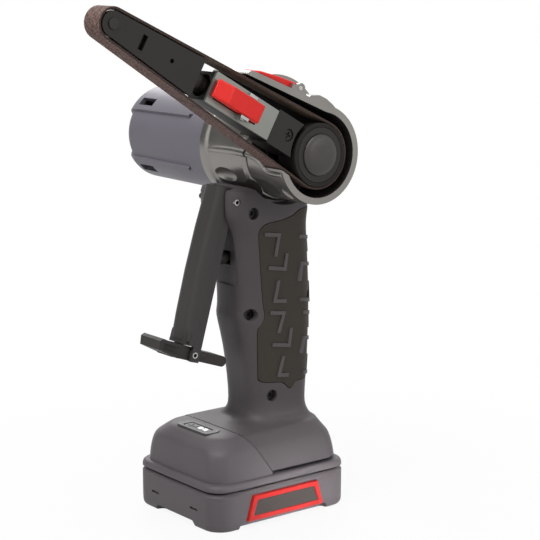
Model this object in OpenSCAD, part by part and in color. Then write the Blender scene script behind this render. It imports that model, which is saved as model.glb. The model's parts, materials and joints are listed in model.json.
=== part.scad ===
/* [Barrel] */
// Height of the motor and pulley axis above the floor
axis_z = 176.5; // [172:0.5:182]
// Place of that axis front to back
axis_y = 16; // [13:0.5:19]
// Length of the motor cover
cover_len = 71; // [69:1:80]
// Radius of the motor cover at its closed end
cover_r_end = 23.7; // [22.5:0.1:24]
// Radius of the motor cover at the casting
cover_r_seam = 24.4; // [24:0.1:25.5]
// Wall of the motor cover
cover_wall = 2.4; // [1.5:0.1:2.8]
// Rounding of the cover's closed end
cover_round = 5.5; // [4:0.5:8]
// Place of the seam between cover and casting
seam_x = -21; // [-23:0.5:-20]
// Length of the gear housing casting
housing_len = 35; // [34:0.5:38]
// Radius of the casting's flange
housing_r = 26; // [25.5:0.1:27]
// Length of the flange
flange_len = 5; // [3:0.5:7]
// Step from the flange down to the casting's body
flange_step = 1.2; // [0.6:0.1:2]

/* [Motor] */
// Radius of the motor can
can_r = 18; // [17:0.1:19]
// Room behind the motor can
can_room = 21; // [20:0.5:23]
// Wall of the can
can_wall = 1.5; // [1:0.1:2]
// Thickness of the magnets
magnet_t = 3.5; // [2.5:0.1:4]
// Radius of the armature
armature_r = 12; // [10:0.1:12.2]
// Room in the can for fan and commutator
can_ends = 24; // [23:0.5:27]
// Radius of the motor shaft
shaft_r = 1.6; // [1.4:0.1:2]
// Length of the end bell
bell_len = 8; // [6:0.5:10]

/* [Gears] */
// Module of the gears
gear_m = 0.8; // [0.7:0.05:0.85]
// Face width of the gears
gear_w = 9; // [7:0.5:10]
// Rim of the ring gear outside its teeth
ring_rim = 2; // [1.5:0.1:2.5]
// Radius of the planet pins
planet_pin_r = 1.8; // [1.4:0.1:2]
// Thickness of the carrier disc
carrier_t = 4; // [3:0.5:5]
// Radius of the output spindle
spindle_r = 4; // [3.5:0.1:4.5]
// Outer radius of the spindle bearing
bearing_r = 11; // [10:0.1:12]
// Width of the spindle bearing
bearing_w = 7; // [6:0.5:8]

/* [Belt head] */
// Tilt of the arm above level
arm_tilt = 29.7; // [20:0.1:40]
// Distance from pulley to idler
arm_c = 130; // [126:0.5:140]
// Width of the belt
belt_w = 12; // [11:0.5:13]
// Thickness of the belt
belt_t = 1; // [0.8:0.1:1.2]
// Radius of the drive pulley
pulley_r = 15; // [14:0.1:15.4]
// Radius of the idler roller
roller_r = 6; // [5.5:0.1:6.5]
// Place of the belt's outer edge along the barrel
belt_x = 39.5; // [39:0.5:41]
// Inner radius of the belt guard
guard_r = 20.2; // [19.5:0.1:21]
// Wall of the belt guard
guard_wall = 3.2; // [2.5:0.1:3.6]
// Reach of the guard's upper wall along the arm
guard_reach = 57; // [50:1:62]
// Thickness of the guard's back
guard_back = 3; // [2:0.5:4]
// Radius of the neck that the guard turns on
neck_r = 13; // [12.5:0.1:14]
// Width of the arm block
block_w = 16.6; // [15:0.1:17.5]
// Length of the arm block's open part
block_len = 14; // [12:0.5:16]
// Length of the steel bracket
bracket_len = 40; // [37:0.5:41]
// Width of the steel bracket
bracket_w = 14.8; // [13.5:0.1:15.5]
// Thickness of the steel bracket
bracket_t = 1.5; // [1:0.1:2]
// Radius of the sliding rod
rod_r = 3.4; // [3:0.1:3.6]
// Travel of the tip when the tension lever is lifted
tip_travel = 6; // [4:0.5:6.5]
// Width of the tip plates
tip_w = 11; // [10:0.2:11.4]
// Thickness of the tip plates
tip_t = 1.6; // [1.2:0.1:2]
// Length of the red levers
lever_len = 28; // [24:0.5:29]
// Width of the tension lever
lever_w = 8.6; // [7:0.1:9]
// Thickness of the tension lever
lever_t = 5; // [4:0.1:5.5]

/* [Handle] */
// Half width of the handle
grip_hx = 15.8; // [15:0.1:17]
// Front of the handle at its foot
grip_front = -3; // [-4:0.1:-2]
// Rear of the handle at its fullest
grip_rear = 36; // [35:0.1:38]
// Wall of the handle
grip_wall = 2.6; // [2.2:0.1:3]
// Thickness of the rubber skin
rubber_t = 1.5; // [1:0.1:1.8]
// Front edge of the rubber skin
rubber_y = 0; // [-1:0.1:3]
// Lower edge of the rubber skin
rubber_z0 = 62; // [61:0.5:64]
// Upper edge of the rubber skin at the side
rubber_z1 = 142; // [140:0.5:142.5]
// Radius of the handle screws
screw_r = 1.5; // [1.25:0.05:1.7]
// Radius of the screw heads
screw_head_r = 2.7; // [2.4:0.1:2.9]

/* [Paddle] */
// Height of the paddle's pivot
pivot_z = 153.7; // [151:0.1:155]
// Place of the pivot front to back
pivot_y = -13.2; // [-14:0.1:-12.6]
// Lean of the paddle from upright
paddle_lean = 16; // [14.5:0.5:18]
// Width of the paddle
paddle_w = 16; // [14:0.2:16.6]
// Depth of the paddle
paddle_d = 9; // [8:0.2:9.6]
// Wall of the paddle
paddle_wall = 2; // [1.6:0.1:2.2]
// Distance from the pivot to the lock pin
paddle_len = 75; // [72:0.5:77]
// Radius of the roll pins
pin_r = 1.5; // [1.2:0.1:1.7]
// Reach of the lock tongue behind its pin
tongue_len = 21.2; // [20:0.1:25]
// Reach of the lock pad in front of its pin
pad_len = 22; // [18:0.5:24]
// Slope of the lock lever at rest
lock_slope = 19; // [16:0.5:22]

/* [Battery] */
// Width of the battery
bat_w = 68; // [67:0.5:72]
// Depth of the battery
bat_d = 82.5; // [82:0.5:88]
// Corner radius of the battery
bat_r = 10; // [8:0.5:12]
// Height of the seam between lower and upper case
bat_seam = 19.4; // [19:0.1:20]
// Height of the deck
deck_z = 23.4; // [23.1:0.1:24]
// Height of the hump
hump_z = 43; // [42:0.1:44]
// Depth of the hump in front of its seam
hump_d = 23.25; // [22:0.25:24]
// Wall of the battery cases
bat_wall = 2; // [1.6:0.1:2.2]
// Least room beside the cells for a release button
cell_side = 4.5; // [4:0.1:6]
// Room at the ends of the cells
cell_end = 8.75; // [8.5:0.25:10]
// Length of a release button at its foot
release_len = 46; // [42:0.5:48]
// Height of a release button
release_h = 12; // [10:0.2:12.5]
// Stand of a release button out of the case
release_out = 1.6; // [1:0.1:2]

/* [Fits] */
// Gap between pieces that move past each other
run_gap = 0.3; // [0.25:0.05:0.5]
// Gap of a pin or shaft in its bore
pin_gap = 0.04; // [0.02:0.01:0.08]
// Gap of a piece seated in another
seat_gap = 0.05; // [0.03:0.01:0.1]
// Gap of a piece pressed onto another
press_gap = 0.01; // [0.01:0.01:0.03]

/* [Hidden] */
$fn = 48;
cover_x = seam_x - cover_len;
can_len = cover_len - can_room;
armature_len = can_len - can_ends;
post_r = 1.25;
post_c = can_r + 3.6;
bell_x = seam_x - can_len - bell_len;
rear_r = 4.5;
nose_r = 8;
keel_hx = 7;
keel_hy = 8;
housing_x = seam_x + housing_len;
body_r = housing_r - flange_step;
sun_n = 12;
planet_n = 15;
ring_n = sun_n + 2*planet_n;
gear_c = gear_m*(sun_n + planet_n)/2;
ring_r = gear_m*ring_n/2 + 1.1*gear_m + ring_rim;
gear_x = seam_x + 5;
gear_x1 = gear_x + gear_w;
carrier_x = gear_x1 + 0.6;
bearing_x = carrier_x + carrier_t + 0.8;
guard_x = housing_x + run_gap;
guard_rim = belt_x + 0.5;
guard_floor = guard_x + guard_back;
neck_x = guard_floor + run_gap;
clip_t = 1.2;
pulley_x = belt_x - belt_w - 0.5;
pulley_x1 = belt_x + 0.4;
cap_r = 9.8;
cap_out = 1.5;
core_r = pulley_r - 2;
loop_r = pulley_r + run_gap;
loop_tip = roller_r + run_gap;
block_u = pulley_r + 2.4;
bracket_u = block_u + block_len;
bracket_u1 = bracket_u + bracket_len;
tip_gap = tip_travel + 2.2;
tip_u = bracket_u1 + tip_gap;
face_x = belt_x - 0.2;
block_x = belt_x - belt_w - 2;
screw_u = block_u + 4;
tip_pin_r = 1.5;
tip_far = belt_x - belt_w + 0.3;
plate_x = face_x - bracket_t;
rod_x = (block_x + plate_x)/2;
ball_r = 5.2;
ball_u = bracket_u1 + 0.6 + ball_r;
tip_taper = tan(asin((loop_r - loop_tip)/arm_c));
ear_t = 1.4;
lever_tail = 8;
lever_u = bracket_u + 19.5;
lever_pin_r = 1.2;
lever_x = face_x + 2.2;
spring_u = bracket_u + 6;
rod_u = spring_u + 18;
top_u = 23;
top_v = guard_r + guard_wall - 0.4;
top_pin_r = 1.2;
top_w = 11;
top_x = (guard_floor + guard_rim)/2;
screw_spots = [[-4.9, 147.8, 12.4], [-4.2, 98.1, 9], [7.3, 56.6, 11]];
boss_r = 3.6;
slot_w = paddle_w + 2*run_gap;
paddle_bow = 1.6;
paddle_top = 6;
switch_size = [14, 20, 24];
switch_y = -4;
switch_z = 113;
plunger_z = 125;
plunger_r = 3;
plunger_out = 14.3;
plunger_win = plunger_r + run_gap;
board_t = 1.6;
board_y = 17;
board_d = 13;
board_z = 60;
board_h = 32;
hump_y = hump_d - bat_d/2;
foot_z = deck_z + 0.4;
foot_roof = 38;
tower_hx = 20;
tower_neck = 17;
tower_z = 31;
tower_y1 = 26;
rail_z = 27.4;
bay_neck = tower_neck + 0.5;
bay_hx = tower_hx + 0.5;
bay_y1 = tower_y1 + 3;
blade_x = [-6, -2, 2, 6];
term_y = 8;
term_d = 22;
lead_r = 1.1;
lead_x = 4.5;
lead_y = 13.5;
cell_r = (deck_z - 2*bat_wall - 1)/2;
cell_pitch = 2*cell_r + run_gap;
cell_n = floor((bat_w - 2*cell_side + run_gap)/cell_pitch);
cell_len = bat_d - 2*cell_end;
release_z = 4;
release_lean = 3.5;
release_in = 2.4;
panel_in = 2.2;
panel_d = 0.8;
gauge_y = hump_y - 8.5;
board_y0 = hump_y - 17;
board_hx = bat_w/2 - 12;
slot_x = bat_w/2 - 18;
gauge_w = 26;
gauge_d = 9.4;
gauge_t = 1.4;
win_w = gauge_w - 8;
win_d = gauge_d - 3.4;
hump_gap = 0.15;
seam_low = hump_y + 13;
arch_h = 3.2;
arch_in = 5;
arch_hy = release_len/2 + 4;

plastic = [0.36, 0.345, 0.36];
cover_grey = [0.45, 0.443, 0.478];
silver = [0.6, 0.59, 0.57];
black = [0.2, 0.185, 0.17];
rubber = [0.25, 0.235, 0.21];
steel = [0.52, 0.525, 0.5];
red = [0.89, 0.19, 0.165];
copper = [0.72, 0.42, 0.24];
board_green = [0.12, 0.3, 0.16];

module on_barrel() {
    translate([0, axis_y, axis_z]) children();
}

module on_arm() {
    on_barrel() rotate([-arm_tilt, 0, 0]) children();
}

module on_paddle() {
    translate([0, pivot_y, pivot_z]) rotate([-paddle_lean, 0, 0]) children();
}

module on_lock() {
    on_paddle() translate([0, 0, -paddle_len]) rotate([paddle_lean - lock_slope, 0, 0]) children();
}

// Round bar along X
module bar_x(r, x0, x1) {
    translate([x0, 0, 0]) rotate([0, 90, 0]) cylinder(r = r, h = x1 - x0);
}

module ring_x(ro, ri, x0, x1) {
    difference() {
        bar_x(ro, x0, x1);
        bar_x(ri, x0 - 1, x1 + 1);
    }
}

// Body of revolution about X from points given as radius and place
module turned_x(points) {
    rotate([0, 90, 0]) rotate_extrude() polygon(points);
}

// Flat shape in the arm's side view, drawn with x along the arm, made thick from x0 to x1
module arm_slab(x0, x1) {
    translate([x0, 0, 0]) rotate([90, 0, 90]) linear_extrude(x1 - x0) mirror([1, 0]) children();
}

module box(x0, x1, y0, y1, z0, z1) {
    translate([x0, y0, z0]) cube([x1 - x0, y1 - y0, z1 - z0]);
}

module round_rect(w, d, r) {
    square([w - 2*r, d], center = true);
    square([w, d - 2*r], center = true);
    for (sx = [-1, 1], sy = [-1, 1])
        translate([sx*(w/2 - r), sy*(d/2 - r)]) circle(r);
}

function arc(c, r, a0, a1, n = 8) =
    [for (i = [0:n]) let (a = a0 + (a1 - a0)*i/n) [c[0] + r*cos(a), c[1] + r*sin(a)]];

// Motor cover

function cover_r(x) = cover_r_end + (cover_r_seam - cover_r_end)*(x - cover_x)/cover_len;

module cover_form(inset) {
    r0 = cover_r(cover_x + cover_round) - inset;
    turned_x(concat([[0, cover_x + inset]],
        arc([r0 - cover_round + inset, cover_x + cover_round], cover_round - inset, -90, 0),
        [[cover_r_seam - inset, seam_x], [0, seam_x]]));
}

module motor_cover() {
    vent_x = cover_x + cover_round + 2;
    color(cover_grey) on_barrel() difference() {
        cover_form(0);
        difference() {
            cover_form(cover_wall);
            ring_x(cover_r_seam, can_r + run_gap, seam_x - 10, seam_x - 6);
        }
        intersection() {
            difference() {
                ring_x(cover_r_seam + 2, cover_r_end - 4, cover_x + 18, seam_x - 11);
                cover_form(0.7);
            }
            box(cover_x, seam_x, -40, 0, -13, 13);
        }
        for (a = [-48, 48])
            rotate([a, 0, 0]) box(vent_x, vent_x + 11, -40, -cover_r_end/2, -1.7, 1.7);
        for (a = [60:30:300])
            rotate([a, 0, 0]) box(vent_x, vent_x + 11, -40, -cover_r_end/2, -1.2, 1.2);
        rotate([45, 0, 0]) for (k = [0:3])
            rotate([90*k, 0, 0]) translate([0, post_c, 0]) bar_x(post_r + seat_gap, seam_x - 11, seam_x + 1);
    }
}

// Gear housing

module gear_housing() {
    back_x = seam_x + 3;
    color(silver) on_barrel() difference() {
        union() {
            turned_x([[0, seam_x], [cover_r_seam, seam_x], [housing_r, seam_x + 1],
                [housing_r, seam_x + flange_len], [body_r, seam_x + flange_len + 2], [body_r, housing_x - 2],
                [body_r - 2, housing_x], [0, housing_x]]);
            bar_x(neck_r, housing_x - 1, neck_x);
            bar_x(neck_r - 1.2, neck_x - 1, neck_x + clip_t + 0.8);
            box(-keel_hx, keel_hx, -keel_hy, keel_hy, -housing_r - 9, -body_r + 4);
        }
        bar_x(ring_r + seat_gap, seam_x - 1, gear_x1 + 0.3);
        bar_x(gear_c + 5, gear_x1, bearing_x - 0.4);
        bar_x(bearing_r + seat_gap, bearing_x - 1, bearing_x + bearing_w);
        bar_x(bearing_r - 2.5, bearing_x, neck_x + clip_t + 2);
        housing_hollows();
        rotate([45, 0, 0]) for (k = [0:3])
            rotate([90*k, 0, 0]) translate([0, post_c, 0]) bar_x(post_r + seat_gap, seam_x - 1, back_x + 2);
    }
}

// Sculpted hollows in the lower front of the casting
module housing_hollows() {
    rotate([42, 0, 0]) translate([4, -body_r - 8.6, 0]) sphere(11);
    rotate([25, 0, 0]) translate([-8, -body_r - 3, 0]) bar_x(4.6, 0, 5);
}

// Plate that closes the gear space towards the motor
module motor_plate() {
    color(steel) on_barrel() ring_x(ring_r, nose_r, seam_x, gear_x);
}

module motor_can() {
    color(steel) on_barrel() difference() {
        bar_x(can_r, seam_x - can_len, seam_x);
        bar_x(can_r - can_wall, seam_x - can_len - 1, seam_x - can_wall);
        bar_x(6, seam_x - can_len, seam_x + 1);
    }
}

module magnets() {
    x1 = seam_x - 9;
    color(black) on_barrel() intersection() {
        ring_x(can_r - can_wall - seat_gap, can_r - can_wall - magnet_t, x1 - armature_len - 4, x1);
        for (s = [0, 180])
            rotate([s, 0, 0]) box(-cover_len*2, 0, 4, can_r, -can_r, can_r);
    }
}

module end_bell() {
    color(black) on_barrel() difference() {
        union() {
            bar_x(can_r - 2, bell_x, seam_x - can_len);
            bar_x(can_r - can_wall - seat_gap, seam_x - can_len, seam_x - can_len + 2.5);
        }
        bar_x(can_r - 4.5, bell_x + 4, seam_x - can_len + 3);
        bar_x(rear_r + seat_gap, bell_x - 1, bell_x + 5);
        for (k = [0:3])
            rotate([90*k + 45, 0, 0]) box(bell_x - 1, bell_x + 5, 8, 11, -2, 2);
    }
}

module rear_bearing() {
    color(steel) on_barrel() ring_x(rear_r, shaft_r + pin_gap, bell_x, bell_x + 4);
}

// Gears

// Tooth flanks run straight from root to tip
function tooth(n, k, r_pitch, add, ded, half) =
    let (step = 360/n, r_tip = r_pitch + add, r_root = r_pitch - ded, lean = tan(20),
        t = (half - add*lean)/r_tip*180/PI, b = (half + ded*lean)/r_root*180/PI)
    [for (p = [[r_root, -b], [r_tip, -t], [r_tip, t], [r_root, b]])
        [p[0]*cos(k*step + p[1]), p[0]*sin(k*step + p[1])]];

module gear_shape(n) {
    half = 0.19*PI*gear_m;
    polygon([for (k = [0:n - 1]) each tooth(n, k, gear_m*n/2, 0.7*gear_m, 1.1*gear_m, half)]);
}

// Spaces between the teeth of the ring gear, as one star
module ring_spaces() {
    half = 0.31*PI*gear_m;
    polygon([for (k = [0:ring_n - 1]) each tooth(ring_n, k, gear_m*ring_n/2, 1.1*gear_m, 0.7*gear_m, half)]);
}

module gear_x_block(x0, x1) {
    translate([x0, 0, 0]) rotate([90, 0, 90]) linear_extrude(x1 - x0) children();
}

module ring_gear() {
    color(steel) on_barrel() gear_x_block(gear_x, gear_x1) difference() {
        circle(ring_r);
        ring_spaces();
    }
}

module planet(k) {
    color(steel) on_barrel() rotate([120*k, 0, 0]) translate([0, gear_c, 0])
        gear_x_block(gear_x + 0.5, gear_x1) difference() {
            gear_shape(planet_n);
            circle(planet_pin_r + pin_gap);
        }
}

module planet_a() { planet(0); }
module planet_b() { planet(1); }
module planet_c() { planet(2); }

module sun_pinion() {
    color(steel) on_barrel() gear_x_block(gear_x + 0.5, gear_x1) difference() {
        gear_shape(sun_n);
        circle(shaft_r + press_gap);
    }
}

module carrier() {
    color(steel) on_barrel() {
        bar_x(gear_c + 4.4, carrier_x, carrier_x + carrier_t);
        bar_x(spindle_r + 2, carrier_x + carrier_t - 0.5, bearing_x - 0.1);
        bar_x(spindle_r, carrier_x, pulley_x1 - 1.8);
        for (k = [0:2])
            rotate([120*k, 0, 0]) translate([0, gear_c, 0]) bar_x(planet_pin_r, gear_x + 0.5, carrier_x + 1);
    }
}

module spindle_bearing() {
    color(steel) on_barrel() ring_x(bearing_r, spindle_r + pin_gap, bearing_x, bearing_x + bearing_w);
}

module neck_clip() {
    color(steel) on_barrel() difference() {
        ring_x(neck_r + 1.6, neck_r - 1.2 + seat_gap, neck_x, neck_x + clip_t);
        box(neck_x - 1, neck_x + clip_t + 1, -2, 2, 0, 2*neck_r);
    }
}

// Rotor

module motor_shaft() {
    color(steel) on_barrel() bar_x(shaft_r, bell_x, gear_x1);
}

module armature() {
    x1 = seam_x - 11;
    color(copper) on_barrel() difference() {
        union() {
            difference() {
                bar_x(armature_r, x1 - armature_len, x1);
                for (k = [0:4])
                    rotate([72*k, 0, 0]) box(x1 - armature_len - 1, x1 + 1, armature_r - 3, armature_r + 1, -1, 1);
            }
            bar_x(armature_r - 3, x1 - armature_len - 3, x1 + 2);
        }
        bar_x(shaft_r + press_gap, x1 - armature_len - 4, x1 + 3);
    }
}

module commutator() {
    x1 = seam_x - 11 - armature_len - 3.2;
    color(copper) on_barrel() ring_x(5.2, shaft_r + press_gap, x1 - 7, x1);
}

module fan() {
    x0 = seam_x - 8.6;
    color(black) on_barrel() difference() {
        union() {
            bar_x(4, x0, x0 + 5);
            bar_x(can_r - can_wall - 1.2, x0, x0 + 1.2);
            for (k = [0:7])
                rotate([45*k, 0, 0]) box(x0, x0 + 5, 3, can_r - can_wall - 1.2, -0.6, 0.6);
        }
        bar_x(shaft_r + press_gap, x0 - 1, x0 + 6);
    }
}

// Pulley

module drive_pulley() {
    color(black) on_barrel() difference() {
        bar_x(core_r, pulley_x, pulley_x1);
        bar_x(spindle_r + press_gap, pulley_x - 1, pulley_x1 + 1);
        bar_x(cap_r + seat_gap, pulley_x1 - 1.6, pulley_x1 + 1);
    }
}

module pulley_tyre() {
    color(rubber) on_barrel() ring_x(pulley_r, core_r + press_gap, pulley_x, pulley_x1);
}

module hub_cap() {
    color(black) on_barrel() turned_x([[0, pulley_x1 - 1.6], [cap_r, pulley_x1 - 1.6], [cap_r, pulley_x1 + 0.3],
        [cap_r - 1.2, pulley_x1 + cap_out], [0, pulley_x1 + cap_out]]);
}

// Belt and arm

// Outline of two circles joined by their outer tangents, with r0 at the pulley and r1 at the idler
module loop_shape(r0, r1, c) {
    a = asin((r0 - r1)/c);
    polygon(concat(arc([0, 0], r0, 90 - a, 270 + a, 40), arc([c, 0], r1, a - 90, 90 - a, 24)));
}

module belt() {
    color([0.41, 0.34, 0.32]) on_arm() arm_slab(belt_x - belt_w, belt_x) difference() {
        loop_shape(loop_r + belt_t, loop_tip + belt_t, arm_c);
        loop_shape(loop_r, loop_tip, arm_c);
    }
}

// Side view of the guard: the drum and the wing that runs out along the arm
module guard_outline(r, reach, tip_v) {
    end = 4;
    circle(r);
    polygon(concat([[0, 0], [0, r], [r*0.4, r*0.94]], arc([reach - end, tip_v - end], end, 84, 0, 6),
        [[reach - 1, tip_v - 7], [r*0.7, 0]]));
}

// Space above the drum's lower lip, which runs level with the belt and rises towards the casting
module above_lip() {
    lip_x = belt_x - belt_w - 0.7;
    lip_v = pulley_r + run_gap + belt_t + 0.7;
    along = -4;
    translate([lip_x, 0, -lip_v]) rotate([along, 0, 0]) box(0, 30, -90, 20, 0, 90);
    translate([lip_x, 0, -lip_v + 2.4]) rotate([along, 9, 0]) box(-30, 2, -90, 20, 0, 90);
}

// Ridge behind the top lever and the shoulder in front of its tail
module guard_crest() {
    r = guard_r + guard_wall;
    wing_v = guard_r - guard_reach*0.12 + guard_wall - 1.5;
    arm_slab(guard_x, top_x - top_w/2 - run_gap) intersection() {
        translate([top_u - 6, 0]) circle(r + 5.5);
        polygon([[0, r - 1.5], [r*0.4, r*0.94 - 1.5], [guard_reach, wing_v], [guard_reach, 2*r], [0, 2*r]]);
    }
    arm_slab(top_x - top_w/2, guard_rim - 1.5)
        polygon([[-1, r - 1], [0, r], [4, r + 1], [8.5, r + 1.6], [13, r + 1.2], [17.6, r - 1.2], [19, r - 3.2],
            [9, r - 3]]);
}

module belt_guard() {
    wing_v = guard_r - guard_reach*0.12;
    color(silver) on_arm() difference() {
        union() {
            arm_slab(guard_x, guard_floor)
                guard_outline(guard_r + guard_wall, guard_reach - 1, wing_v + guard_wall);
            difference() {
                arm_slab(guard_x, guard_rim)
                    guard_outline(guard_r + guard_wall, guard_reach, wing_v + guard_wall);
                arm_slab(guard_floor, guard_rim + 1) circle(guard_r);
                intersection() {
                    arm_slab(guard_floor, guard_rim + 1) polygon([[0, -60], [0, guard_r],
                        [guard_r*0.4, guard_r*0.94], [guard_reach + 9, wing_v - 1], [guard_reach + 9, -60]]);
                    above_lip();
                }
            }
            guard_crest();
            for (s = [-1, 1])
                arm_slab(top_x + s*(top_w/2 + run_gap + 1) - 1, top_x + s*(top_w/2 + run_gap + 1) + 1)
                    translate([top_u, top_v]) {
                        circle(2.4);
                        translate([-4, -4.5]) square([9, 4.5]);
                    }
            arm_slab(guard_floor - 0.5, block_x) block_outline(block_u + 1, bracket_u - 1, block_w - 4);
        }
        bar_x(neck_r + 0.08, guard_x - 1, guard_floor + 1);
        translate([0, -top_u, top_v]) bar_x(top_pin_r + pin_gap, 0, guard_rim + 1);
        translate([0, -screw_u, 0]) bar_x(1.6, guard_x - 1, block_x + 1);
    }
}

module block_outline(u0, u1, w) {
    translate([u0, -w/2]) square([u1 - u0, w]);
}

module arm_block() {
    color(black) on_arm() difference() {
        union() {
            difference() {
                arm_slab(block_x, face_x + 0.2) block_outline(block_u - 5, bracket_u, block_w);
                bar_x(pulley_r + 2.3, block_x - 1, face_x + 1);
            }
            arm_slab(block_x, plate_x) block_outline(bracket_u - 1, bracket_u1, bracket_w - 1);
        }
        translate([0, -screw_u, 0]) bar_x(1.6, block_x - 1, face_x + 1);
        translate([0, -screw_u, 0]) bar_x(2.9, face_x - 2, face_x + 1);
        translate([rod_x, -bracket_u1 - 1, 0]) rotate([-90, 0, 0]) {
            cylinder(r = rod_r + pin_gap, h = bracket_u1 - spring_u + 1);
            cylinder(r = ball_r + run_gap, h = tip_travel + 1.4);
        }
        arm_slab(plate_x - 3.6, plate_x + 1) block_outline(lever_u - lever_tail - 1.6, lever_u + 2, lever_w + 1);
    }
}

module block_screw() {
    color(steel) on_arm() translate([0, -screw_u, 0]) {
        bar_x(1.5, guard_x + 0.5, face_x - 1.5);
        difference() {
            bar_x(2.6, face_x - 2, face_x - 0.4);
            box(face_x - 1.2, face_x, -1.6, 1.6, -0.35, 0.35);
            box(face_x - 1.2, face_x, -0.35, 0.35, -1.6, 1.6);
        }
    }
}

module arm_bracket() {
    ear_v = lever_w/2 + run_gap + ear_t/2;
    color(steel) on_arm() difference() {
        union() {
            arm_slab(plate_x, face_x) difference() {
                block_outline(bracket_u, bracket_u1, bracket_w);
                block_outline(lever_u - lever_tail - 1.6, bracket_u1 - 3.2, lever_w + 2*run_gap);
            }
            for (s = [-1, 1])
                translate([0, 0, s*ear_v]) linear_extrude(ear_t, center = true)
                    polygon([[plate_x, 3.2 - lever_u], [plate_x, -3.2 - lever_u], [lever_x + 2.2, -2.4 - lever_u],
                        [lever_x + 2.2, 2.4 - lever_u]]);
        }
        translate([lever_x, -lever_u, 0]) cylinder(r = lever_pin_r + pin_gap, h = 2*bracket_w, center = true);
    }
}

module lever_pin() {
    len = lever_w + 2*run_gap + 2*ear_t + 1;
    color(steel) on_arm() translate([lever_x, -lever_u, 0]) cylinder(r = lever_pin_r, h = len, center = true);
}

module tension_lever() {
    low = face_x + 0.4;
    high = low + lever_t;
    near = lever_tail - lever_u;
    far = near - lever_len;
    color(red) on_arm() difference() {
        linear_extrude(lever_w, center = true) polygon([[low, near], [low, far + 3], [low + 1.6, far],
            [low + 2.6, far], [high, far + 8], [high, near - 1], [high - 1, near]]);
        translate([lever_x, -lever_u, 0]) cylinder(r = lever_pin_r + pin_gap, h = 2*lever_w, center = true);
    }
}

module tension_spring() {
    wire = 0.5;
    turns = 7;
    coil = rod_r - wire - 0.25;
    span = rod_u - spring_u;
    color(steel) on_arm() translate([rod_x, -spring_u, 0]) rotate([90, 0, 0])
        for (k = [0:turns])
            translate([0, 0, wire + (span - 2*wire)*k/turns])
                rotate_extrude() translate([coil, 0]) circle(wire, $fn = 16);
}

module slide_rod() {
    color(black) on_arm() translate([rod_x, -tip_u, 0]) rotate([-90, 0, 0]) {
        cylinder(r = rod_r, h = tip_u - rod_u);
        cylinder(r = ball_r, h = tip_u - ball_u);
        intersection() {
            translate([0, 0, tip_u - ball_u]) sphere(ball_r);
            cylinder(r = 2*ball_r, h = tip_gap);
        }
    }
}

// Side view of the tip out to u1, which narrows with the belt
module tip_outline(u1, inset) {
    v0 = tip_w/2 + (arm_c - tip_u)*tip_taper - inset;
    v1 = tip_w/2 + (arm_c - u1)*tip_taper - inset;
    polygon([[tip_u, -v0], [u1, -v1], [u1, v1], [tip_u, v0]]);
}

module arm_tip() {
    color(black) on_arm() difference() {
        union() {
            for (x = [tip_far, face_x - tip_t])
                arm_slab(x, x + tip_t) {
                    tip_outline(arm_c, 0);
                    translate([arm_c, 0]) circle(tip_w/2);
                }
            arm_slab(tip_far, face_x) tip_outline(arm_c - roller_r - 3, 0.6);
        }
        translate([0, -arm_c, 0]) bar_x(tip_pin_r + press_gap, 0, 60);
        translate([0, -tip_u - 16, 0]) bar_x(1, face_x - 4, face_x + 1);
        arm_slab(face_x - 3, face_x + 1) translate([tip_u + 32, -3.6]) square([2.6, 7]);
    }
}

module tip_axle() {
    color(steel) on_arm() translate([0, -arm_c, 0]) {
        bar_x(tip_pin_r, tip_far, face_x);
        bar_x(tip_pin_r + 1, face_x, face_x + 0.6);
    }
}

module tip_roller() {
    far_x = tip_far + tip_t + run_gap;
    color(steel) on_arm() translate([0, -arm_c, 0])
        ring_x(roller_r, tip_pin_r + pin_gap, far_x, face_x - tip_t - run_gap);
}

module top_lever_pin() {
    half = top_w/2 + run_gap + 2;
    color(steel) on_arm() translate([0, -top_u, top_v]) bar_x(top_pin_r, top_x - half, top_x + half);
}

module top_lever() {
    tail = 2;
    end = lever_len - tail - 2;
    color(red) on_arm() difference() {
        arm_slab(top_x - top_w/2, top_x + top_w/2) translate([top_u, top_v]) polygon([[-tail, 1.2], [-tail, -0.8],
            [0, -2], [end - 4, -4.2], [end, -4.6], [end, -3.2], [end/2 + 1, -0.5], [5, 1], [0, 1.9]]);
        translate([0, -top_u, top_v]) bar_x(top_pin_r + pin_gap, 0, 60);
    }
}

// Handle

// Level slice of the handle: half width, front, rear, corner radius and height
module slice(s, inset) {
    r = s[3] - inset;
    for (sx = [-1, 1], y = [s[1] + s[3], s[2] - s[3]])
        translate([sx*(s[0] - s[3]), y, s[4]]) cylinder(r = r, h = 0.1, $fn = 32);
}

function grip_slices() = [
    [grip_hx - 0.8, grip_front + 1.5, grip_rear - 3.5, 10.5, 44],
    [grip_hx - 0.8, grip_front, grip_rear - 2, 10.5, 62],
    [grip_hx, grip_front - 5.8, grip_rear - 0.4, 12.5, 96],
    [grip_hx, grip_front - 7, grip_rear, 13, 110],
    [grip_hx + 0.4, grip_front - 9, grip_rear - 3, 13, 149]];

module grip_form(inset) {
    hull() for (s = grip_slices()) slice(s, inset);
}

// Head of the handle, which carries the casting and the paddle's pivot
module head_form(inset) {
    front = pivot_y - 2.8;
    corner = 7.5;
    hull() {
        slice([grip_hx - 0.6, grip_front - 7, grip_rear - 5, 11, 132], inset);
        slice([grip_hx + 0.6, front, grip_rear - 4, corner, pivot_z - 8], inset);
        slice([grip_hx + 0.6, front, grip_rear - 5, corner, pivot_z + 5], inset);
    }
}

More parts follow.
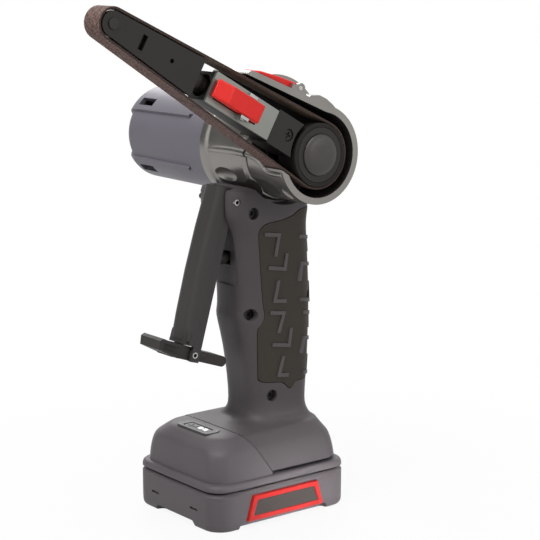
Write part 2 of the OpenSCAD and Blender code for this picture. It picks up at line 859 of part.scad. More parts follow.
// Hump shared by the battery's front and the handle's foot
module hump_form(inset) {
    hull() {
        for (sx = [-1, 1], sy = [-1, 1]) {
            translate([sx*(bat_w/2 - 13), sy*(bat_d/2 - 13), foot_z])
                cylinder(r = 10.5 - inset, h = 5, $fn = 32);
            translate([sx*(bat_w/2 - 21), sy*(bat_d/2 - 21), hump_z - 4 - inset])
                cylinder(r1 = 15 - inset, r2 = 12 - inset, h = 4, $fn = 32);
        }
    }
}

// Side view of the space in front of the seam, which leans back as it goes down
module before_seam(gap) {
    rotate([90, 0, 90]) linear_extrude(2*bat_w, center = true) polygon([[-bat_d, 0], [seam_low - gap, 0],
        [seam_low - gap, foot_z], [hump_y - gap, hump_z], [hump_y - gap, 2*hump_z], [-bat_d, 2*hump_z]]);
}

module foot_flare() {
    hull() {
        slice([grip_hx + 5, grip_front - 3, grip_rear + 1, 13, hump_z - 3], 0);
        slice([grip_hx - 1.6, grip_front + 2, grip_rear - 4, 10.5, hump_z + 7], 0);
    }
}

// Rib from the handle's side wall in to half width x
module pad_box(side, x, y0, y1, z0, z1) {
    x1 = grip_hx - grip_wall;
    box(side > 0 ? x : -x1, side > 0 ? x1 : -x, y0, y1, z0, z1);
}

// Zone of the handle that the rubber skin covers
module rubber_zone(grow) {
    y = rubber_y;
    rotate([90, 0, 90]) linear_extrude(80, center = true) offset(delta = grow) polygon([[y + 0.5, rubber_z0 + 3.4],
        [y + 3.4, rubber_z0 + 1.8], [y + 13, rubber_z0 + 0.7], [y + 18.6, rubber_z0 - 3.4], [y + 23, rubber_z0],
        [y + 60, rubber_z0], [y + 60, rubber_z1 + 5.6], [y + 24, rubber_z1 + 5.6], [y + 19, rubber_z1 + 2],
        [y + 4, rubber_z1], [y, rubber_z1 - 1.4], [y - 1.6, rubber_z1 - 4.6], [y + 1.2, 104], [y + 2.2, 98],
        [y + 1.2, 94.2], [y - 1.3, 92]]);
}

module handle_half(side) {
    inner = grip_hx - grip_wall;
    difference() {
        union() {
            difference() {
                union() {
                    grip_form(0);
                    difference() {
                        hump_form(0);
                        before_seam(-hump_gap);
                    }
                    foot_flare();
                    head_form(0);
                }
                difference() {
                    rubber_zone(0.1);
                    grip_form(rubber_t + 0.1);
                }
                grip_form(grip_wall + 1);
                box(-inner + 1, inner - 1, -6, grip_rear - 8, 130, 170);
                box(-bay_neck, bay_neck, hump_y - 1, bay_y1, foot_z - 1, foot_roof);
                box(-bay_hx, bay_hx, hump_y - 1, bay_y1, rail_z + run_gap, foot_roof);
                box(-9, 9, term_y - 2, term_y + term_d - 2, foot_roof - 1, 60);
                box(-slot_w/2, slot_w/2, -60, -9.2, 112, 175);
            }
            for (s = screw_spots)
                translate([0, s[0], s[1]]) bar_x(boss_r, -s[2], s[2]);
            for (sx = [-1, 1]) {
                pad_box(sx, switch_size[0]/2, switch_y + 4, switch_y + 14, switch_z + 4, switch_z + 12);
                pad_box(sx, board_t/2, board_y + 2, board_y + 9, board_z + 4, board_z + 8);
            }
        }
        on_barrel() bar_x(housing_r + run_gap, -40, 60);
        on_barrel() box(-keel_hx - seat_gap, keel_hx + seat_gap, -keel_hy - seat_gap, keel_hy + seat_gap,
            -housing_r - 9.5, 0);
        for (s = screw_spots)
            translate([0, s[0], s[1]]) {
                bar_x(screw_r + pin_gap, -s[2] + 2, 40);
                bar_x(screw_head_r + 0.2, s[2], 40);
            }
        translate([0, pivot_y, pivot_z]) bar_x(pin_r + 0.02, -40, 40);
        box(-plunger_win, plunger_win, -30, 0, plunger_z - plunger_win, plunger_z + plunger_win);
        box(side > 0 ? -80 : 0, side > 0 ? 0 : 80, -80, 80, 0, 200);
    }
}

module handle_left() {
    color(plastic) handle_half(1);
}

module handle_right() {
    color(plastic) handle_half(-1);
}

module grip_rubber() {
    color(rubber) difference() {
        intersection() {
            grip_form(0);
            rubber_zone(0);
        }
        grip_form(rubber_t);
        for (s = screw_spots)
            translate([0, s[0], s[1]]) bar_x(screw_head_r + 1.6, -40, 40);
    }
}

module handle_screws() {
    color(steel) for (s = screw_spots)
        translate([0, s[0], s[1]]) {
            bar_x(screw_r, 4 - s[2], s[2] + 0.2);
            difference() {
                bar_x(screw_head_r, s[2] + 0.02, s[2] + 1.8);
                translate([s[2] + 0.8, 0, 0]) rotate([0, 90, 0]) cylinder(r = 1.3, h = 2, $fn = 6);
            }
        }
}

module housing_screws() {
    color(steel) on_barrel() rotate([45, 0, 0]) for (k = [0:3])
        rotate([90*k, 0, 0]) translate([0, post_c, 0]) bar_x(post_r, seam_x - 10, seam_x + 4.5);
}

module switch_body() {
    color(black) difference() {
        translate([-switch_size[0]/2, switch_y, switch_z]) cube(switch_size);
        translate([0, switch_y + 14, plunger_z]) rotate([90, 0, 0])
            cylinder(r = plunger_r - 0.9 + pin_gap, h = 20);
    }
}

module switch_plunger() {
    color(black) translate([0, 0, plunger_z]) rotate([90, 0, 0]) {
        translate([0, 0, -switch_y - 8]) cylinder(r = plunger_r - 0.9, h = 9);
        translate([0, 0, -switch_y + 6]) cylinder(r = plunger_r, h = plunger_out);
        translate([0, 0, -switch_y + 0.5]) cylinder(r = plunger_r - 0.9, h = 6);
    }
}

module control_board() {
    color(board_green) {
        box(-board_t/2, board_t/2, board_y, board_y + board_d, board_z, board_z + board_h);
        box(board_t/2 - 0.1, 4, board_y + 1, board_y + 9, board_z + 12, board_z + 20);
        translate([-4, board_y + 6, board_z + 24]) bar_x(2.6, 0, 4.1);
    }
}

module terminal_block() {
    color(black) {
        box(-12, 12, term_y, term_y + term_d - 4.5, foot_roof - 5, foot_roof);
        for (x = blade_x)
            box(x - 0.5, x + 0.5, term_y + 4, term_y + 15, rail_z - 1.4, foot_roof - 4);
    }
}

module leads() {
    color(red) for (x = [-lead_x, lead_x])
        translate([x, lead_y, foot_roof]) cylinder(r = lead_r, h = switch_z - foot_roof);
}

module paddle_pin() {
    color(steel) translate([0, pivot_y, pivot_z]) ring_x(pin_r, pin_r - 0.6, 1.3 - grip_hx, grip_hx - 1.3);
}

// Paddle

// Section of the paddle, a channel that is open to the rear, with rounded front corners
module paddle_section(inset, r) {
    w = paddle_w/2 - inset;
    d = paddle_d;
    polygon(concat([[w, d/2 + inset], [-w, d/2 + inset]],
        arc([-w + r, -d/2 + inset + r], r, 180, 270), arc([w - r, -d/2 + inset + r], r, 270, 360)));
}

module paddle() {
    color(black) on_paddle() difference() {
        hull() for (k = [0:4])
            translate([0, -1.5 - paddle_bow*k*(4 - k)/4, -paddle_len - 3.4 + (paddle_len + paddle_top + 3.3)*k/4])
                linear_extrude(0.1) paddle_section(0, 5);
        translate([0, -1.5, -paddle_len - 10]) linear_extrude(paddle_len + 6) paddle_section(paddle_wall, 1.6);
        bar_x(pin_r + pin_gap, -20, 20);
        translate([0, 0, -paddle_len]) bar_x(pin_r + 0.02, -20, 20);
        translate([0, -paddle_d/2 - 2, -paddle_len - 20]) box(-20, 20, -20, 4.8, 0, 26);
        translate([0, paddle_d/2 - 1.2, 0]) rotate([paddle_lean, 0, 0]) box(-20, 20, 0, 20, -20, 20);
    }
}

module lock_pin() {
    color(steel) on_paddle() translate([0, 0, -paddle_len])
        ring_x(pin_r, pin_r - 0.6, -paddle_w/2 - 0.4, paddle_w/2 + 0.4);
}

module lock_lever() {
    w = paddle_w - 2*paddle_wall - 2*run_gap;
    half = 2.6;
    color(black) on_lock() difference() {
        union() {
            bar_x(half + 0.8, -w/2, w/2);
            box(-w/2, w/2, 0, tongue_len - half, -half, half);
            translate([0, tongue_len - half, 0]) bar_x(half, -w/2, w/2);
            box(-w/2, w/2, -12, 0, -half - 0.6, half + 0.8);
            rotate([90, 0, 90]) linear_extrude(paddle_w, center = true)
                polygon([[-9.5, -half - 0.6], [-9.5, half + 0.4], [-pad_len + 1.5, 4.4], [-pad_len, 3],
                    [-pad_len + 0.8, -1.2]]);
        }
        bar_x(pin_r + pin_gap, -20, 20);
    }
}

// Battery

// Outline of a release button in its side view
module release_outline(grow) {
    polygon([[-release_len/2 - grow, -grow], [release_len/2 + grow, -grow],
        [release_len/2 - release_lean + grow, release_h + grow],
        [-release_len/2 + release_lean - grow, release_h + grow]]);
}

module release_slab(x0, x1, grow) {
    translate([x0, 0, release_z]) rotate([90, 0, 90]) linear_extrude(x1 - x0) release_outline(grow);
}

module battery_lower() {
    color(plastic) difference() {
        linear_extrude(bat_seam) round_rect(bat_w, bat_d, bat_r);
        translate([0, 0, bat_wall]) linear_extrude(bat_seam)
            round_rect(cell_n*cell_pitch + 1.3, cell_len + 1.6, 1);
        translate([0, 0, arch_h + bat_wall + 1.5]) linear_extrude(bat_seam)
            round_rect(bat_w - 2*bat_wall, bat_d - 2*bat_wall, bat_r - bat_wall);
        for (s = [-1, 1]) {
            box(-slot_x, slot_x, s > 0 ? bat_d/2 - arch_in : -bat_d, s > 0 ? bat_d : arch_in - bat_d/2,
                -1, arch_h);
            box(s > 0 ? bat_w/2 - arch_in : -bat_w, s > 0 ? bat_w : arch_in - bat_w/2, -arch_hy, arch_hy,
                -1, arch_h);
            box(s*slot_x - 3, s*slot_x + 3, -bat_d, 1 - bat_d/2, 8.6, 9.8);
            mirror([s > 0 ? 0 : 1, 0, 0])
                release_slab(bat_w/2 - release_in - 3, bat_w, run_gap);
        }
    }
}

module battery_upper() {
    color(plastic) difference() {
        union() {
            translate([0, 0, bat_seam]) linear_extrude(deck_z - bat_seam) round_rect(bat_w, bat_d, bat_r);
            difference() {
                intersection() {
                    hump_form(0);
                    before_seam(hump_gap);
                }
                intersection() {
                    hump_form(bat_wall + 0.6);
                    box(-60, 60, -60, hump_y - hump_gap - bat_wall, 0, 60);
                }
            }
            linear_extrude(foot_z + 1) intersection() {
                round_rect(bat_w - 7, bat_d - 7, bat_r);
                translate([-60, -60]) square([120, 60 + hump_y - hump_gap]);
            }
            box(-tower_neck, tower_neck, hump_y - 1, tower_y1, deck_z - 0.5, tower_z);
            box(-tower_hx, tower_hx, hump_y - 1, tower_y1, rail_z + 2*run_gap, tower_z);
        }
        translate([0, 0, -1]) linear_extrude(deck_z - bat_wall + 1)
            round_rect(bat_w - 2*bat_wall, bat_d - 2*bat_wall, bat_r - bat_wall);
        for (x = blade_x)
            box(x - 1, x + 1, term_y + 1, tower_y1 + 1, rail_z - 2.4, tower_z + 1);
        translate([0, gauge_y, hump_z - gauge_t - 0.05]) linear_extrude(5)
            round_rect(gauge_w + 2*seat_gap, gauge_d + 2*seat_gap, 3);
        translate([0, gauge_y, hump_z - 6]) linear_extrude(8) round_rect(win_w, win_d, 1.5);
    }
}

module cells() {
    color([0.2, 0.45, 0.55]) for (k = [1:cell_n])
        translate([(k - (cell_n + 1)/2)*cell_pitch, cell_len/2, bat_wall + cell_r + 0.02]) rotate([90, 0, 0])
            cylinder(r = cell_r, h = cell_len);
}

module battery_board() {
    z0 = deck_z + 1.4;
    color(board_green) {
        box(-board_hx, board_hx, board_y0, hump_y - bat_wall - 0.5, z0, z0 + board_t);
        translate([0, gauge_y, z0]) cylinder(r = 2, h = hump_z - 6 - z0);
    }
}

module gauge_frame() {
    color(black) translate([0, gauge_y, hump_z - gauge_t]) linear_extrude(gauge_t + 0.4) difference() {
        round_rect(gauge_w, gauge_d, 3);
        round_rect(win_w, win_d, 1.5);
    }
}

module gauge_button() {
    color([0.3, 0.3, 0.3]) translate([0, gauge_y, hump_z - 5.2]) linear_extrude(5.4)
        round_rect(win_w - 2*run_gap, win_d - 2*run_gap, 1.2);
}

// Outline of the inset panel of a release button
module panel_outline(inset) {
    polygon([[-release_len/2 + 1.4*inset, inset], [release_len/2 - 1.4*inset, inset],
        [release_len/2 - release_lean - inset, release_h - inset],
        [-release_len/2 + release_lean + inset, release_h - inset]]);
}

module panel_slab(inset, t) {
    translate([bat_w/2 + release_out - panel_d, 0, release_z]) rotate([90, 0, 90])
        linear_extrude(t) panel_outline(inset);
}

module release_frame() {
    difference() {
        release_slab(bat_w/2 - release_in, bat_w/2 + release_out, 0);
        panel_slab(panel_in, 2);
    }
}

module release_panel() {
    panel_slab(panel_in + 0.1, 0.5);
}

module release_left() { color(red) release_frame(); }
module release_right() { color(red) mirror([1, 0, 0]) release_frame(); }
module release_panel_left() { color(black) release_panel(); }
module release_panel_right() { color(black) mirror([1, 0, 0]) release_panel(); }

handle_left();
handle_right();
grip_rubber();
motor_cover();
gear_housing();
motor_plate();
motor_can();
magnets();
end_bell();
rear_bearing();
ring_gear();
spindle_bearing();
neck_clip();
switch_body();
control_board();
terminal_block();
leads();
handle_screws();
housing_screws();
paddle_pin();
paddle();
lock_pin();
lock_lever();
switch_plunger();
carrier();
drive_pulley();
pulley_tyre();
hub_cap();
motor_shaft();
armature();
commutator();
fan();
sun_pinion();
planet_a();
planet_b();
planet_c();
belt_guard();
arm_block();
block_screw();
arm_bracket();
lever_pin();
belt();
tension_spring();
top_lever_pin();
top_lever();
tension_lever();
arm_tip();
slide_rod();
tip_axle();
tip_roller();
battery_lower();
battery_upper();
cells();
battery_board();
gauge_frame();
gauge_button();
release_left();
release_right();
release_panel_left();
release_panel_right();
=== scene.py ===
import json
import math

import bpy
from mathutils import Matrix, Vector

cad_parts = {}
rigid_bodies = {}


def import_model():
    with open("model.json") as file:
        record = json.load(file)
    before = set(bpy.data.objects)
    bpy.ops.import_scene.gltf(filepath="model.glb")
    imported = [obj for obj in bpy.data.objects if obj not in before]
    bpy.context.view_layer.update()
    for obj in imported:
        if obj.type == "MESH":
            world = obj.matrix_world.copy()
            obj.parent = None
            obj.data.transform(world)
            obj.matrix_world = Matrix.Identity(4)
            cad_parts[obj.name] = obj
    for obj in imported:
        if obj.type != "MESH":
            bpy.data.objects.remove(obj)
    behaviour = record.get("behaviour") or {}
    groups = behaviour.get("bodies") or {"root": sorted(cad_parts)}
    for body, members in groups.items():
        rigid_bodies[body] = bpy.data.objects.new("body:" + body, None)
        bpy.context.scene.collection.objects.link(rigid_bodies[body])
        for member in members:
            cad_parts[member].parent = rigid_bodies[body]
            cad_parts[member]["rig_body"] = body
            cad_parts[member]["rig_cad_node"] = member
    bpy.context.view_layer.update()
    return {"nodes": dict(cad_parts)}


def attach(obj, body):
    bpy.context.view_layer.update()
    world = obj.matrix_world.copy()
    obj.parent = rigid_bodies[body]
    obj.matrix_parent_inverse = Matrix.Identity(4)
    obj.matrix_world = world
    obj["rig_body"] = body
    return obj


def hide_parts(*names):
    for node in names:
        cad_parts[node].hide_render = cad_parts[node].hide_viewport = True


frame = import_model()

# Studio: a pale floor that runs out to a white backdrop, a broad lamp above the left shoulder,
# weaker ones at the right, in front, overhead and behind, a low narrow one for the battery,
# and a black card at the left, out of the picture, that the casting mirrors.
mm = 0.001
scene = bpy.context.scene
scene.view_settings.view_transform = "Standard"

camera_place = Vector((657.74, -498.54, 278.22)) * mm
camera_aim = Vector((8.58, 10.93, 117.64)) * mm
bpy.ops.object.camera_add(location=camera_place)
camera = bpy.context.active_object
camera.rotation_euler = (camera_aim - camera_place).to_track_quat("-Z", "Y").to_euler()
camera.data.lens = 115.38
camera.data.sensor_width = 36
camera.data.clip_end = 20
scene.camera = camera

for lamp_name, place, aim, size, power, spread in (
        ("key_lamp", (0.22, -0.88, 1.45), (0, 0, 0.14), 0.8, 17, 180),
        ("side_lamp", (1.3, 0.5, 0.6), (0, 0, 0.1), 0.7, 3.6, 180),
        ("front_lamp", (-0.3, -1.3, 0.5), (0, 0, 0.14), 0.6, 0.7, 180),
        ("low_lamp", (0.34, 0.06, 0.03), (0.04, 0.01, 0.002), 0.06, 0.019, 11),
        ("top_lamp", (0.2, -0.2, 1.6), (0, 0, 0.1), 0.6, 6.5, 180),
        ("rim_lamp", (-0.9, 0.5, 0.9), (0, 0, 0.15), 0.6, 7, 180)):
    bpy.ops.object.light_add(type="AREA", location=place)
    lamp = bpy.context.active_object
    lamp.name = lamp_name
    lamp.data.shape = "SQUARE"
    lamp.data.size = size
    lamp.data.energy = power
    lamp.data.spread = math.radians(spread)
    lamp.rotation_euler = (Vector(aim) - Vector(place)).to_track_quat("-Z", "Y").to_euler()


def white_to_the_eye(tree):
    """1 where the backdrop shows as plain white: to the camera, in gloss and through glass; else 0."""
    path = tree.nodes.new("ShaderNodeLightPath")
    sight = tree.nodes.new("ShaderNodeMath")
    sight.operation = "MAXIMUM"
    tree.links.new(path.outputs["Is Camera Ray"], sight.inputs[0])
    tree.links.new(path.outputs["Is Glossy Ray"], sight.inputs[1])
    through = tree.nodes.new("ShaderNodeMath")
    through.operation = "MAXIMUM"
    tree.links.new(sight.outputs["Value"], through.inputs[0])
    tree.links.new(path.outputs["Is Transmission Ray"], through.inputs[1])
    return through.outputs["Value"]


world = bpy.data.worlds.new("studio_white")
scene.world = world
world.use_nodes = True
sky = world.node_tree
sky.nodes.clear()
sky_out = sky.nodes.new("ShaderNodeOutputWorld")
sky_light = sky.nodes.new("ShaderNodeBackground")
sky_light.inputs["Color"].default_value = (1, 1, 1, 1)
sky_light.inputs["Strength"].default_value = 0.24
sky_seen = sky.nodes.new("ShaderNodeBackground")
sky_seen.inputs["Color"].default_value = (1, 1, 1, 1)
sky_mix = sky.nodes.new("ShaderNodeMixShader")
sky.links.new(white_to_the_eye(sky), sky_mix.inputs["Fac"])
sky.links.new(sky_light.outputs["Background"], sky_mix.inputs[1])
sky.links.new(sky_seen.outputs["Background"], sky_mix.inputs[2])
sky.links.new(sky_mix.outputs["Shader"], sky_out.inputs["Surface"])

bpy.ops.object.select_all(action="DESELECT")
bpy.ops.mesh.primitive_plane_add(size=2.4)
floor = bpy.context.active_object
floor.name = "studio_floor"
floor_mat = bpy.data.materials.new("floor_white")
floor_mat.use_nodes = True
tree = floor_mat.node_tree
floor_skin = tree.nodes["Principled BSDF"]
floor_skin.inputs["Base Color"].default_value = (0.55, 0.55, 0.55, 1)
floor_skin.inputs["Roughness"].default_value = 0.6
floor_place = tree.nodes.new("ShaderNodeTexCoord")
floor_reach = tree.nodes.new("ShaderNodeVectorMath")
floor_reach.operation = "LENGTH"
tree.links.new(floor_place.outputs["Object"], floor_reach.inputs[0])
floor_share = tree.nodes.new("ShaderNodeMapRange")
floor_share.inputs["From Min"].default_value = 0.06
floor_share.inputs["From Max"].default_value = 0.3
floor_share.inputs["To Min"].default_value = 0.92
floor_share.inputs["To Max"].default_value = 1.0
tree.links.new(floor_reach.outputs["Value"], floor_share.inputs["Value"])
floor_white = tree.nodes.new("ShaderNodeMath")
floor_white.operation = "MULTIPLY"
tree.links.new(white_to_the_eye(tree), floor_white.inputs[0])
tree.links.new(floor_share.outputs["Result"], floor_white.inputs[1])
floor_glow = tree.nodes.new("ShaderNodeEmission")
floor_glow.inputs["Color"].default_value = (1, 1, 1, 1)
floor_mix = tree.nodes.new("ShaderNodeMixShader")
tree.links.new(floor_white.outputs["Value"], floor_mix.inputs["Fac"])
tree.links.new(floor_skin.outputs["BSDF"], floor_mix.inputs[1])
tree.links.new(floor_glow.outputs["Emission"], floor_mix.inputs[2])
tree.links.new(floor_mix.outputs["Shader"], tree.nodes["Material Output"].inputs["Surface"])
floor.data.materials.append(floor_mat)

card_place = Vector((-0.52, -0.4, 0.36))
bpy.ops.object.select_all(action="DESELECT")
bpy.ops.mesh.primitive_plane_add(size=0.46, location=card_place)
card = bpy.context.active_object
card.name = "studio_card"
card.visible_camera = False
card.rotation_euler = (Vector((0, 0, 0.18)) - card_place).to_track_quat("Z", "Y").to_euler()
bpy.ops.object.transform_apply(location=True, rotation=True, scale=True)
card_mat = bpy.data.materials.new("card_black")
card_mat.use_nodes = True
card_skin = card_mat.node_tree.nodes["Principled BSDF"]
card_skin.inputs["Base Color"].default_value = (0.02, 0.02, 0.02, 1)
card_skin.inputs["Roughness"].default_value = 0.9
card.data.materials.append(card_mat)


# Motor cover: a cup of grey glass-filled nylon, moulded in one piece, with a shallow panel along
# its front and a ring of cooling slots. Four screws hold it to the casting.
def seen(red, green, blue):
    """Colour as the eye reads it, from 0 to 255, made linear for the shader."""
    shares = [value / 255 for value in (red, green, blue)]
    return tuple(s / 12.92 if s < 11 / 255 else ((s + 0.055) / 1.055) ** 2.4 for s in shares) + (1,)


def skin_group():
    """Moulded skin: fine erosion texture, soft blotches of tone and dust that dulls the gloss."""
    group = bpy.data.node_groups.new("moulded_skin", "ShaderNodeTree")
    for label, kind, value in (("Colour", "NodeSocketColor", None), ("Grain", "NodeSocketFloat", 1600),
                               ("Blotch", "NodeSocketFloat", 0.06), ("Roughness", "NodeSocketFloat", 0.5)):
        socket = group.interface.new_socket(label, in_out="INPUT", socket_type=kind)
        if value is not None:
            socket.default_value = value
    for label, kind in (("Colour", "NodeSocketColor"), ("Roughness", "NodeSocketFloat"),
                        ("Height", "NodeSocketFloat")):
        group.interface.new_socket(label, in_out="OUTPUT", socket_type=kind)
    nodes, links = group.nodes, group.links
    inner = nodes.new("NodeGroupInput")
    outer = nodes.new("NodeGroupOutput")
    place = nodes.new("ShaderNodeTexCoord")
    fine = nodes.new("ShaderNodeTexNoise")
    fine.inputs["Detail"].default_value = 3
    links.new(place.outputs["Object"], fine.inputs["Vector"])
    links.new(inner.outputs["Grain"], fine.inputs["Scale"])
    broad = nodes.new("ShaderNodeTexNoise")
    broad.inputs["Scale"].default_value = 38
    broad.inputs["Detail"].default_value = 5
    links.new(place.outputs["Object"], broad.inputs["Vector"])
    centre = nodes.new("ShaderNodeMath")
    centre.operation = "SUBTRACT"
    centre.inputs[1].default_value = 0.5
    links.new(broad.outputs["Fac"], centre.inputs[0])
    sway = nodes.new("ShaderNodeMath")
    sway.operation = "MULTIPLY_ADD"
    sway.inputs[2].default_value = 1
    links.new(centre.outputs["Value"], sway.inputs[0])
    stronger = nodes.new("ShaderNodeMath")
    stronger.operation = "MULTIPLY"
    stronger.inputs[1].default_value = 4
    links.new(inner.outputs["Blotch"], stronger.inputs[0])
    links.new(stronger.outputs["Value"], sway.inputs[1])
    tone = nodes.new("ShaderNodeHueSaturation")
    links.new(inner.outputs["Colour"], tone.inputs["Color"])
    links.new(sway.outputs["Value"], tone.inputs["Value"])
    links.new(tone.outputs["Color"], outer.inputs["Colour"])
    dull = nodes.new("ShaderNodeMath")
    dull.operation = "MULTIPLY_ADD"
    dull.inputs[1].default_value = 0.22
    links.new(centre.outputs["Value"], dull.inputs[0])
    links.new(inner.outputs["Roughness"], dull.inputs[2])
    links.new(dull.outputs["Value"], outer.inputs["Roughness"])
    links.new(fine.outputs["Fac"], outer.inputs["Height"])
    return group


moulded_skin = skin_group()


def moulded(name, colour, roughness, grain, bump, blotch, metallic=0.0, coat=0.0, spec=0.5):
    """A material with the moulded or cast skin on it."""
    mat = bpy.data.materials.new(name)
    mat.use_nodes = True
    nodes, links = mat.node_tree.nodes, mat.node_tree.links
    shader = nodes["Principled BSDF"]
    skin = nodes.new("ShaderNodeGroup")
    skin.node_tree = moulded_skin
    skin.inputs["Colour"].default_value = colour
    skin.inputs["Grain"].default_value = grain
    skin.inputs["Blotch"].default_value = blotch
    skin.inputs["Roughness"].default_value = roughness
    relief = nodes.new("ShaderNodeBump")
    relief.inputs["Strength"].default_value = bump
    relief.inputs["Distance"].default_value = 0.0004
    links.new(skin.outputs["Colour"], shader.inputs["Base Color"])
    links.new(skin.outputs["Roughness"], shader.inputs["Roughness"])
    links.new(skin.outputs["Height"], relief.inputs["Height"])
    links.new(relief.outputs["Normal"], shader.inputs["Normal"])
    shader.inputs["Metallic"].default_value = metallic
    shader.inputs["Coat Weight"].default_value = coat
    shader.inputs["Specular IOR Level"].default_value = spec
    return mat


def only(obj):
    """Makes one object the only one selected, and the active one."""
    if bpy.context.mode != "OBJECT":
        bpy.ops.object.mode_set(mode="OBJECT")
    bpy.ops.object.select_all(action="DESELECT")
    obj.select_set(True)
    bpy.context.view_layer.objects.active = obj
    return obj


def settle(obj):
    """Applies place, turn and size, so that the piece's object sits at the origin."""
    only(obj)
    bpy.ops.object.transform_apply(location=True, rotation=True, scale=True)
    return obj


def block(x0, x1, y0, y1, z0, z1):
    """A box between two corners, in mm."""
    bpy.ops.object.select_all(action="DESELECT")
    middle = ((x0 + x1) / 2 * mm, (y0 + y1) / 2 * mm, (z0 + z1) / 2 * mm)
    bpy.ops.mesh.primitive_cube_add(size=1, location=middle)
    obj = bpy.context.active_object
    obj.scale = ((x1 - x0) * mm, (y1 - y0) * mm, (z1 - z0) * mm)
    return settle(obj)


def bar_x(radius, x0, x1, y, z, sides=96):
    """A round bar along the barrel's direction, in mm."""
    bpy.ops.object.select_all(action="DESELECT")
    middle = ((x0 + x1) / 2 * mm, y * mm, z * mm)
    bpy.ops.mesh.primitive_cylinder_add(vertices=sides, radius=radius * mm, depth=(x1 - x0) * mm,
                                        location=middle, rotation=(0, math.pi / 2, 0))
    return settle(bpy.context.active_object)


def cut(obj, tool, way="DIFFERENCE"):
    """Cuts, joins or meets one piece with another, which is used up."""
    only(obj)
    step = obj.modifiers.new("cut", "BOOLEAN")
    step.operation = way
    step.solver = "EXACT"
    step.object = tool
    bpy.ops.object.modifier_apply(modifier=step.name)
    bpy.data.objects.remove(tool)
    return obj


def copy_of(obj):
    """A copy with its own mesh."""
    only(obj)
    bpy.ops.object.duplicate()
    return bpy.context.active_object


def merged(obj, gap=0.00001):
    """Joins points that lie on each other and turns all faces outwards."""
    only(obj)
    bpy.ops.object.mode_set(mode="EDIT")
    bpy.ops.mesh.select_all(action="SELECT")
    bpy.ops.mesh.remove_doubles(threshold=gap)
    bpy.ops.mesh.normals_make_consistent(inside=False)
    bpy.ops.object.mode_set(mode="OBJECT")
    return obj


def eased(obj, width, steps=2, angle=32):
    """Rounds the sharp edges by a width in mm and shades the piece smooth."""
    only(obj)
    step = obj.modifiers.new("ease", "BEVEL")
    step.width = width * mm
    step.segments = steps
    step.limit_method = "ANGLE"
    step.angle_limit = math.radians(angle)
    step.use_clamp_overlap = True
    step.miter_outer = "MITER_ARC"
    bpy.ops.object.modifier_apply(modifier=step.name)
    bpy.ops.object.shade_smooth_by_angle(angle=math.radians(35))
    return obj


def fit_out(obj, name, body, mats, stands_for=()):
    """Names and dresses the finished piece, keeps flat faces flat in the light and ties it to its body."""
    obj.name = name
    obj.data.name = name
    obj.data.materials.clear()
    for mat in mats:
        obj.data.materials.append(mat)
    only(obj)
    step = obj.modifiers.new("flat", "WEIGHTED_NORMAL")
    step.keep_sharp = True
    bpy.ops.object.modifier_apply(modifier=step.name)
    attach(obj, body)
    if stands_for:
        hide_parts(*stands_for)
    return obj


axis_y, axis_z = 16.0, 176.5
cover_x0, cover_x1 = -92.0, -21.5
cover_r0, cover_r1 = 23.7, 24.4
cover_round = 5.5


def unpicked(obj):
    """Leaves no point, edge or face of a piece selected, for a choice made in object mode."""
    only(obj)
    bpy.ops.object.mode_set(mode="EDIT")
    bpy.ops.mesh.select_all(action="DESELECT")
    bpy.ops.object.mode_set(mode="OBJECT")


def widened(factor, x):
    """In edit mode, scales what is selected away from the barrel's axis, at a place along it in mm."""
    bpy.ops.transform.resize(value=(1, factor, factor), center_override=(x * mm, axis_y * mm, axis_z * mm))


def cover_form(inset):
    """The cover's form, drawn in by an inset: a drum with a rounded end that widens to the casting."""
    drum = bar_x(cover_r0 - inset, cover_x0 + inset, cover_x1, axis_y, axis_z)
    unpicked(drum)
    for v in drum.data.vertices:
        v.select = v.co.x > (cover_x1 - 1) * mm
    bpy.ops.object.mode_set(mode="EDIT")
    widened((cover_r1 - inset) / (cover_r0 - inset), cover_x1)
    bpy.ops.object.mode_set(mode="OBJECT")
    unpicked(drum)
    for e in drum.data.edges:
        e.select = all(drum.data.vertices[i].co.x < (cover_x0 + inset + 1) * mm for i in e.vertices)
    bpy.ops.object.mode_set(mode="EDIT")
    bpy.ops.mesh.bevel(offset=(cover_round - inset) * mm, segments=8, affect="EDGES")
    bpy.ops.object.mode_set(mode="OBJECT")
    return drum


def panel_wedge(x0, x1, low, high):
    """A wedge that opens to the front, for sloped long walls: from low to high at the panel's reach."""
    slope = 1.2
    reach = 20.0
    front = reach + 20
    tip = reach - (high - low) / 2 / slope
    middle = (low + high) / 2
    spread = (front - tip) * slope
    bpy.ops.object.select_all(action="DESELECT")
    bpy.ops.mesh.primitive_cube_add(size=mm, location=(x0 * mm, 0, 0))
    wedge = bpy.context.active_object
    corners = {(-1, -1): (tip, middle - 0.01), (-1, 1): (tip, middle + 0.01),
               (1, -1): (front, middle - spread), (1, 1): (front, middle + spread)}
    for v in wedge.data.vertices:
        ahead, height = corners[(-1 if v.co.y > 0 else 1, -1 if v.co.z < 0 else 1)]
        v.co = (0 if v.co.x < 0 else (x1 - x0) * mm, (axis_y - ahead) * mm, (axis_z + height) * mm)
    return settle(wedge)


